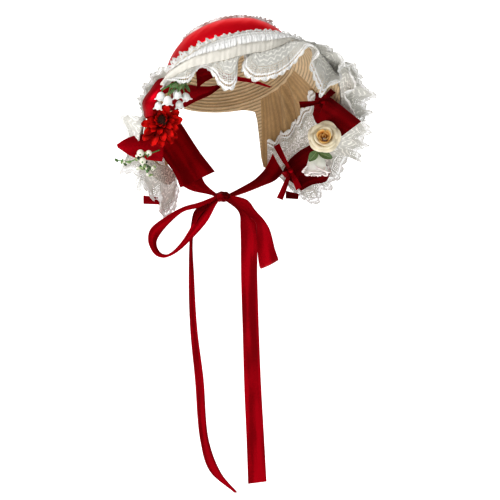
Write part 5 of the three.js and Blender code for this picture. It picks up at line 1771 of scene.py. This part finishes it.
def build_rosebud():
    white = petal_material("Bud petal", (0.78, 0.80, 0.70), (0.88, 0.88, 0.84), (0.84, 0.76, 0.74), 0.6)
    layers = (
        (4, 2.4, 7.0, 15.5, -11.0, 10.0, 0.7, 0.5, white),
        (4, 2.3, 6.0, 14.0, -10.0, 12.5, 0.5, 1.2, white),
        (3, 2.7, 5.0, 11.0, -8.0, 13.5, 0.2, 0.2, white),
        (3, 2.7, 1.5, 6.0, -4.0, 14.0, 0.1, 1.0, white),
        (2, 3.6, 0.8, 3.0, -2.0, 14.0, 0.0, 0.4, white),
    )
    place = facing(seen(119, -161, -4), 6, -92) @ Matrix.Diagonal((1.12, 0.98, 1.15, 1))
    bloom("white_bud", "bud_petal", "rosebud", layers, place, 5)


LEAF_TEETH = 7


def leaf(piece, length, width, matrix, material):
    u, v = np.meshgrid(np.linspace(0.02, 0.98, 25), np.linspace(-1, 1, 13), indexing="ij")
    half = width / 2 * np.sin(np.pi * u) ** 0.8 * (1 + 0.05 * np.abs(((u * LEAF_TEETH) % 1) - 0.5))
    vein = 0.18 * np.cos(2 * np.pi * (u * 6 - np.abs(v) * 1.2)) * np.abs(v) * (1 - np.abs(v))
    z = 1.4 * np.abs(v) ** 1.3 - 6 * (u - 0.5) ** 2 + vein + 0.4 * np.sin(9 * u) * v
    grid = moved(np.stack([length * (u - 0.5), half * v, z], -1), matrix)
    piece.sheet(grid, PETAL_THICK, np.stack([u, v * 0.5 + 0.5], -1), material)


@kept
def leaf_material():
    n = Nodes("Leaf green", 0.5, Specular_IOR_Level=0.45)
    _, across = n.uv()
    midrib = n.range(n.apart(across, 0.5), 1.0, 0.0, 0.0, 0.06)
    mottle = n.noise((7.0, 7.0, 1.0), 3.0)
    base = n.ramp(mottle, (0.3, (0.07, 0.13, 0.045)), (0.7, (0.16, 0.25, 0.10)))
    n.colour(n.add("Mix", out=2, props={"data_type": "RGBA"}, Factor=midrib, i6=base, i7=(0.30, 0.40, 0.20, 1)))
    n.bump(n.math("ADD", mottle, midrib), 0.3, 0.3)
    return n.material


# Rose leaves: name, solid, right, up, depth, length, width and turn
LEAVES = [
    ("leaf_left", "rose_leaf_left", 115, -150.5, -18, 19, 11, 232),
    ("leaf_right", "rose_leaf_right", 130.5, -150, -13, 20, 10, -22),
]


def build_leaves():
    for name, target, right, up, deep, length, width, roll in LEAVES:
        piece = Piece(name)
        leaf(piece, length, width, facing(seen(right, up, deep), 0, 10, roll), leaf_material())
        piece.finish("leaf", target)


# Bells: right, up, depth, size and tilt
BELLS = [
    (-82, -68, -156, 1.05, -16),
    (-74, -73, -158, 1.1, -4),
    (-63, -65, -154, 1.1, 8),
    (-53, -69, -148, 1.05, 22),
    (-86, -81, -150, 0.9, -10),
    (-60, -79, -146, 0.95, 6),
]
# A bell's side from its top to its rim: radius and height
BELL_PROFILE = np.array([
    (0.3, 0.2), (1.8, -0.3), (3.3, -1.7), (4.2, -3.8), (4.3, -6.0), (4.6, -7.8), (5.6, -9.3), (6.1, -9.6),
])
STEMS = [
    [(-46, -54, -136), (-58, -53, -147), (-70, -58, -153), (-82, -65, -154)],
    [(-70, -58, -153), (-74, -72, -157)],
    [(-62, -54, -150), (-63, -64, -153)],
    [(-56, -53, -146), (-53, -68, -147)],
    [(-81, -64, -153), (-86, -80, -149)],
    [(-62, -54, -149), (-60, -79, -145)],
]
# Leaves: right, up, depth, length, width and turn
LILY_LEAVES = [
    (-52, -55, -150, 15, 5, 10),
    (-58, -62, -160, 13, 4, 60),
    (-49, -62, -148, 12, 4, -60),
    (-60, -54, -152, 14, 5, 155),
    (-65, -60, -160, 12, 4, 200),
    (-55, -59, -158, 12, 4, 100),
    (-68, -66, -158, 11, 3.5, 235),
]


def tube(piece, points, radius, material, sides=8):
    """A stem through the points, with a radius for each end."""
    line = curve_through(np.array(points, float), np.linspace(0, 1, max(8, len(points) * 6)))
    r = np.linspace(*radius, len(line))
    tangent = unit(np.gradient(line, axis=0))
    side = unit(np.cross(tangent, VIEW_AWAY + 0.01))
    other = np.cross(tangent, side)
    t, steps = round_grid(sides, np.arange(len(line)))
    ring = np.cos(t)[..., None] * side + np.sin(t)[..., None] * other
    piece.ring(line + ring * r[:, None], np.stack([steps / 4.0, t], -1), material)


def stem_material():
    return plain_material("Stem green", (0.05, 0.15, 0.03), (0.13, 0.30, 0.09), 0.5, 350.0)


def build_lilies():
    white = plain_material("Bell white", (0.74, 0.75, 0.72), (0.84, 0.84, 0.82), 0.45, 180.0)
    green = stem_material()
    for k, (right, up, deep, size, tilt) in enumerate(BELLS, 1):
        t, j = round_grid(36, np.arange(len(BELL_PROFILE)))
        lobe = 1 + 0.10 * np.cos(6 * t) * (j >= 5) * (j - 4) / 3
        r, h = BELL_PROFILE[j, 0] * lobe, BELL_PROFILE[j, 1] + 0.5 * (1 - np.cos(6 * t)) * (j >= 6)
        place = facing(seen(right, up, deep), 0, -10, tilt)
        grid = moved(np.stack([r * np.sin(t), h, r * np.cos(t)], -1) * size, place)
        piece = Piece(f"bell_{k}")
        piece.sheet(grid, 0.7, np.stack([t, j / 8], -1), white, True)
        piece.finish("bell", f"lily_bell_{k}", sharp=70)
    piece = Piece("lily_stems")
    for k, points in enumerate(STEMS):
        tube(piece, seen_rows(points), (1.2, 0.9) if k == 0 else (0.9, 0.7), green)
    for right, up, deep, length, width, roll in LILY_LEAVES:
        leaf(piece, length, width, facing(seen(right, up, deep), 0, 10, roll), leaf_material())
    piece.finish("leaf", "lily_stem")


SPRIG = [
    [(-85, -143, -82), (-96, -147, -101), (-106, -150, -106), (-124, -158, -108), (-140, -156, -106)],
    [(-106, -150, -106), (-104, -164, -108), (-100, -176, -106)],
    [(-115, -169, -108), (-104, -162, -107), (-92, -169, -108)],
]
SPRIG_BUDS = (16, 11, 9)
# Berries: right, up, depth and radius
BERRIES = [
    (-110, -147, -110, 4.6),
    (-107, -157, -111, 4.2),
    (-99, -147, -105, 3.8),
    (-113, -167, -108, 2.4),
    (-94, -167, -108, 2.6),
]


def ball(piece, centre, radius, material, sides=16, rows=10):
    t, h = round_grid(sides, np.linspace(0, np.pi, rows + 1))
    grid = np.stack([np.sin(h) * np.cos(t), np.sin(h) * np.sin(t), -np.cos(h)], -1) * radius + centre
    piece.add(grid.reshape(-1, 3), grid_faces(sides, rows + 1, True), np.stack([t, h], -1).reshape(-1, 2), material)


def build_berries():
    cream = plain_material("Berry cream", (0.70, 0.68, 0.56), (0.86, 0.85, 0.76), 0.35, 160.0)
    green = stem_material()
    for k, (right, up, deep, radius) in enumerate(BERRIES, 1):
        piece = Piece(f"cream_berry_{k}")
        centre = seen(right, up, deep)
        ball(piece, centre, radius * 0.98, cream)
        tip = centre - VIEW_AWAY * radius * 0.8 + np.array([0, 0, -radius * 0.45])
        ball(piece, tip, radius * 0.26, green, 8, 6)
        piece.finish("berry", f"berry_{k}", sharp=180)
    piece = Piece("berry_stems")
    for points in SPRIG:
        tube(piece, seen_rows(points), (0.9, 0.6), green, 6)
    ink = plain_material("Seed black", (0.006, 0.010, 0.004), (0.03, 0.05, 0.02), 0.4, 300.0)
    pale = plain_material("Bud green", (0.25, 0.36, 0.14), (0.50, 0.58, 0.32), 0.5, 300.0)
    buds = np.random.default_rng(7)
    for points, count in zip(SPRIG, SPRIG_BUDS):
        line = curve_through(seen_rows(points), np.linspace(0.3, 1, count))
        for k, p in enumerate(line):
            off = buds.normal(size=3) * (2.8, 2.0, 2.8)
            end = p + off
            tube(piece, [p, p + off * 0.5, end], (0.4, 0.3), green, 5)
            kind = k % 4
            if kind == 0:
                ball(piece, end, buds.uniform(1.3, 1.8), ink, 8, 6)
            elif kind == 1:
                ball(piece, end, buds.uniform(1.4, 2.1), cream, 8, 6)
            else:
                turned = facing(end, buds.uniform(-30, 30), buds.uniform(-30, 30), buds.uniform(0, 360))
                leaf(piece, buds.uniform(5, 7.5), 3.0, turned, pale if kind == 2 else leaf_material())
    piece.finish("leaf", "berry_sprig", sharp=180)


# Stage

# Width that the camera sees at its target, in millimetres
FRAME_WIDTH = 650.0
# The floor, in metres: how far below the bonnet, how far it runs, and the radius of its bend up to the wall
FLOOR_DROP, FLOOR_REACH, FLOOR_BEND = 0.02, 6.0, 1.0
# Lights: name, metres away, aside and up from the target, metres that it aims above it, size and share of the power
LIGHTS = (
    ("Key", -1.4, -1.35, 1.25, 0.2, 0.9, 1.0),
    ("Fill", -1.6, 1.5, 0.4, 0.0, 1.6, 0.12),
    ("Back", 1.0, 0.0, 1.8, 0.0, 1.4, 0.05),
)


def area_light(name, place, target, size, power):
    light = bpy.data.lights.new(name, "AREA")
    light.shape, light.size, light.size_y = "RECTANGLE", size, size
    light.energy = power
    made = bpy.data.objects.new(name, light)
    bpy.context.scene.collection.objects.link(made)
    made.location = place
    made.rotation_euler = (target - place).to_track_quat("-Z", "Y").to_euler()


def build_floor(away, side, glow):
    """A pale floor that bends up into a wall behind the bonnet."""
    level, bend_at = CAD_LOW.z - FLOOR_DROP, FLOOR_REACH * 0.3
    profile = [(-FLOOR_REACH, level), (bend_at, level)]
    for k in range(1, 13):
        a = k / 12 * math.pi / 2
        profile.append((bend_at + FLOOR_BEND * math.sin(a), level + FLOOR_BEND * (1 - math.cos(a))))
    profile.append((bend_at + FLOOR_BEND, FLOOR_REACH))
    points = [side * x + away * y + Vector((0, 0, z)) for y, z in profile for x in (-FLOOR_REACH, FLOOR_REACH)]
    faces = [(2 * i, 2 * i + 1, 2 * i + 3, 2 * i + 2) for i in range(len(profile) - 1)]
    mesh = bpy.data.meshes.new("floor")
    mesh.from_pydata(points, [], faces)
    mesh.shade_smooth()
    n = Nodes("Floor", 0.9, Emission_Strength=glow, Emission_Color=(1, 1, 1, 1))
    n.colour((0.93, 0.93, 0.93, 1))
    mesh.materials.append(n.material)
    floor = bpy.data.objects.new("floor", mesh)
    bpy.context.scene.collection.objects.link(floor)


def build_stage():
    scene = bpy.context.scene
    stage = scene.bonnet_stage
    scene.view_settings.view_transform = "Standard"
    scene.view_settings.look = "Medium High Contrast"
    target = Vector(VIEW_RIGHT * VIEW_AIM_RIGHT + UP * VIEW_AIM_UP) * MM
    away, side = Vector(VIEW_AWAY), Vector(VIEW_RIGHT)
    camera = bpy.data.cameras.new("Camera")
    camera.sensor_width = 36
    camera.lens = camera.sensor_width * VIEW_DISTANCE / FRAME_WIDTH
    view = bpy.data.objects.new("Camera", camera)
    scene.collection.objects.link(view)
    view.location = target - away * VIEW_DISTANCE * MM
    view.rotation_euler = away.to_track_quat("-Z", "Y").to_euler()
    scene.camera = view
    build_floor(away, side, stage.floor)
    world = bpy.data.worlds.new("Studio")
    scene.world = world
    world.use_nodes = True
    background = world.node_tree.nodes["Background"]
    background.inputs["Color"].default_value = (1, 1, 1, 1)
    background.inputs["Strength"].default_value = stage.surround
    for name, back, aside, above, aim, size, share in LIGHTS:
        place = target + away * back + side * aside + Vector((0, 0, above))
        area_light(name, place, target + Vector((0, 0, aim)), size, stage.key * share)


# Sizes and colours that can be changed in the panel

def colour_property(name, description, default):
    return FloatVectorProperty(name=name, description=description, default=default, subtype="COLOR", min=0, max=1)


def length_property(name, description, default):
    return FloatProperty(name=name, description=description, default=default, unit="LENGTH")


class StrawSizes(bpy.types.PropertyGroup):
    braid: length_property("Braid width", "Width that shows of each row of plait", 0.0045)
    relief: length_property("Braid relief", "How far each row stands over the next", 0.0011)
    colour: colour_property("Straw", "Colour of the straw", (0.66, 0.50, 0.31))


class SatinSizes(bpy.types.PropertyGroup):
    bright: colour_property("Hatband", "Colour of the hatband's satin", (0.68, 0.006, 0.018))
    red: colour_property("Bow and tails", "Colour of the bow's satin", (0.225, 0.001, 0.006))
    tie: colour_property("Ties", "Colour of the satin that runs to the flaps", (0.222, 0.001, 0.005))
    # Painted shade: the dark satin is the ribbons' red satin, darkened for the ribbons that lie in shade
    dark: colour_property("Dark satin", "Colour of the satin that lies in shade", (0.108, 0.001, 0.003))


class LaceSizes(bpy.types.PropertyGroup):
    ground: colour_property("Ground", "Colour of the cloth that the lace is sewn to", (0.76, 0.73, 0.66))
    thread: colour_property("Thread", "Colour of the lace thread", (0.86, 0.855, 0.84))
    # Partly painted shade: the net is greyer than the thread, partly because it is sheer and partly as painted shade on
    # the folded ruffles
    net: colour_property("Net", "Colour of the sheer net between the threads", (0.63, 0.62, 0.575))


class FlowerSizes(bpy.types.PropertyGroup):
    daisy: colour_property("Daisy", "Colour of the daisy's petals", (0.58, 0.010, 0.008))


class StageSizes(bpy.types.PropertyGroup):
    key: FloatProperty(name="Key light", description="Power of the main light", default=29.0, unit="POWER")
    surround: FloatProperty(name="Surround", description="Strength of the light from all round", default=0.2)
    floor: FloatProperty(name="Floor glow", description="How far the pale floor is lit from within", default=0.6)


GROUPS = {
    "bonnet_straw": StrawSizes,
    "bonnet_satin": SatinSizes,
    "bonnet_lace": LaceSizes,
    "bonnet_flowers": FlowerSizes,
    "bonnet_stage": StageSizes,
}


def make_operator(key, label, doc, build):
    def execute(self, context):
        build()
        return {"FINISHED"}
    return type(
        "BONNET_OT_" + key,
        (bpy.types.Operator,),
        {"bl_idname": "bonnet." + key, "bl_label": label, "__doc__": doc, "execute": execute},
    )


OPERATORS = [
    make_operator("stage", "Stage", "Makes the camera, the lights and the floor", build_stage),
    make_operator("straw", "Straw", "Makes the rows of sewn plait", build_straw),
    make_operator("hatband", "Hatband", "Makes the satin band round the crown", build_hatband),
    make_operator("front_ruffle", "Front ruffle", "Makes the gathered lace of the brim", build_front_ruffle),
    make_operator("back_ruffles", "Back ruffles", "Makes the second layer of lace", build_back_ruffles),
    make_operator("heading", "Heading", "Makes the frilled heading of the front ruffle", build_heading),
    make_operator("crown_frill", "Crown frill", "Makes the lace above the hatband", build_crown_frill),
    make_operator("flap_lace", "Flap lace", "Makes the lace that lines the flaps", build_flap_lace),
    make_operator("ties", "Ties", "Makes the ribbon ties and their tails", build_ties),
    make_operator("tie_bow", "Tie bow", "Makes the loops and the knot under the chin", build_tie_bow),
    make_operator("side_ribbons", "Side ribbons", "Makes the wide ribbons on both flaps", build_side_ribbons),
    make_operator("small_bows", "Small bows", "Makes the two small bows", build_small_bows),
    make_operator("rose", "Rose", "Makes the cream rose", build_rose),
    make_operator("rosebud", "Rosebud", "Makes the white bud", build_rosebud),
    make_operator("leaves", "Leaves", "Makes the rose leaves", build_leaves),
    make_operator("daisy", "Daisy", "Makes the red daisy and its seeds", build_daisy),
    make_operator("lilies", "Lilies", "Makes the lily of the valley", build_lilies),
    make_operator("berries", "Berries", "Makes the berries and their sprig", build_berries),
]


class BONNET_PT_panel(bpy.types.Panel):
    """Lists the pieces of the bonnet and their sizes"""
    bl_idname = "BONNET_PT_panel"
    bl_label = "Lace bonnet"
    bl_space_type = "VIEW_3D"
    bl_region_type = "UI"
    bl_category = "Bonnet"

    def draw(self, context):
        for name, group in GROUPS.items():
            box = self.layout.box()
            values = getattr(context.scene, name)
            for key in group.__annotations__:
                box.prop(values, key)
        for operator in OPERATORS:
            self.layout.operator(operator.bl_idname)


def register():
    for name, group in GROUPS.items():
        bpy.utils.register_class(group)
        setattr(bpy.types.Scene, name, PointerProperty(type=group))
    for operator in OPERATORS:
        bpy.utils.register_class(operator)
    bpy.utils.register_class(BONNET_PT_panel)


def unregister():
    bpy.utils.unregister_class(BONNET_PT_panel)
    for operator in reversed(OPERATORS):
        bpy.utils.unregister_class(operator)
    for name, group in reversed(GROUPS.items()):
        delattr(bpy.types.Scene, name)
        bpy.utils.unregister_class(group)


def main():
    register()
    for operator in OPERATORS:
        getattr(bpy.ops.bonnet, operator.bl_idname.split(".")[1])()


if __name__ == "__main__":
    main()
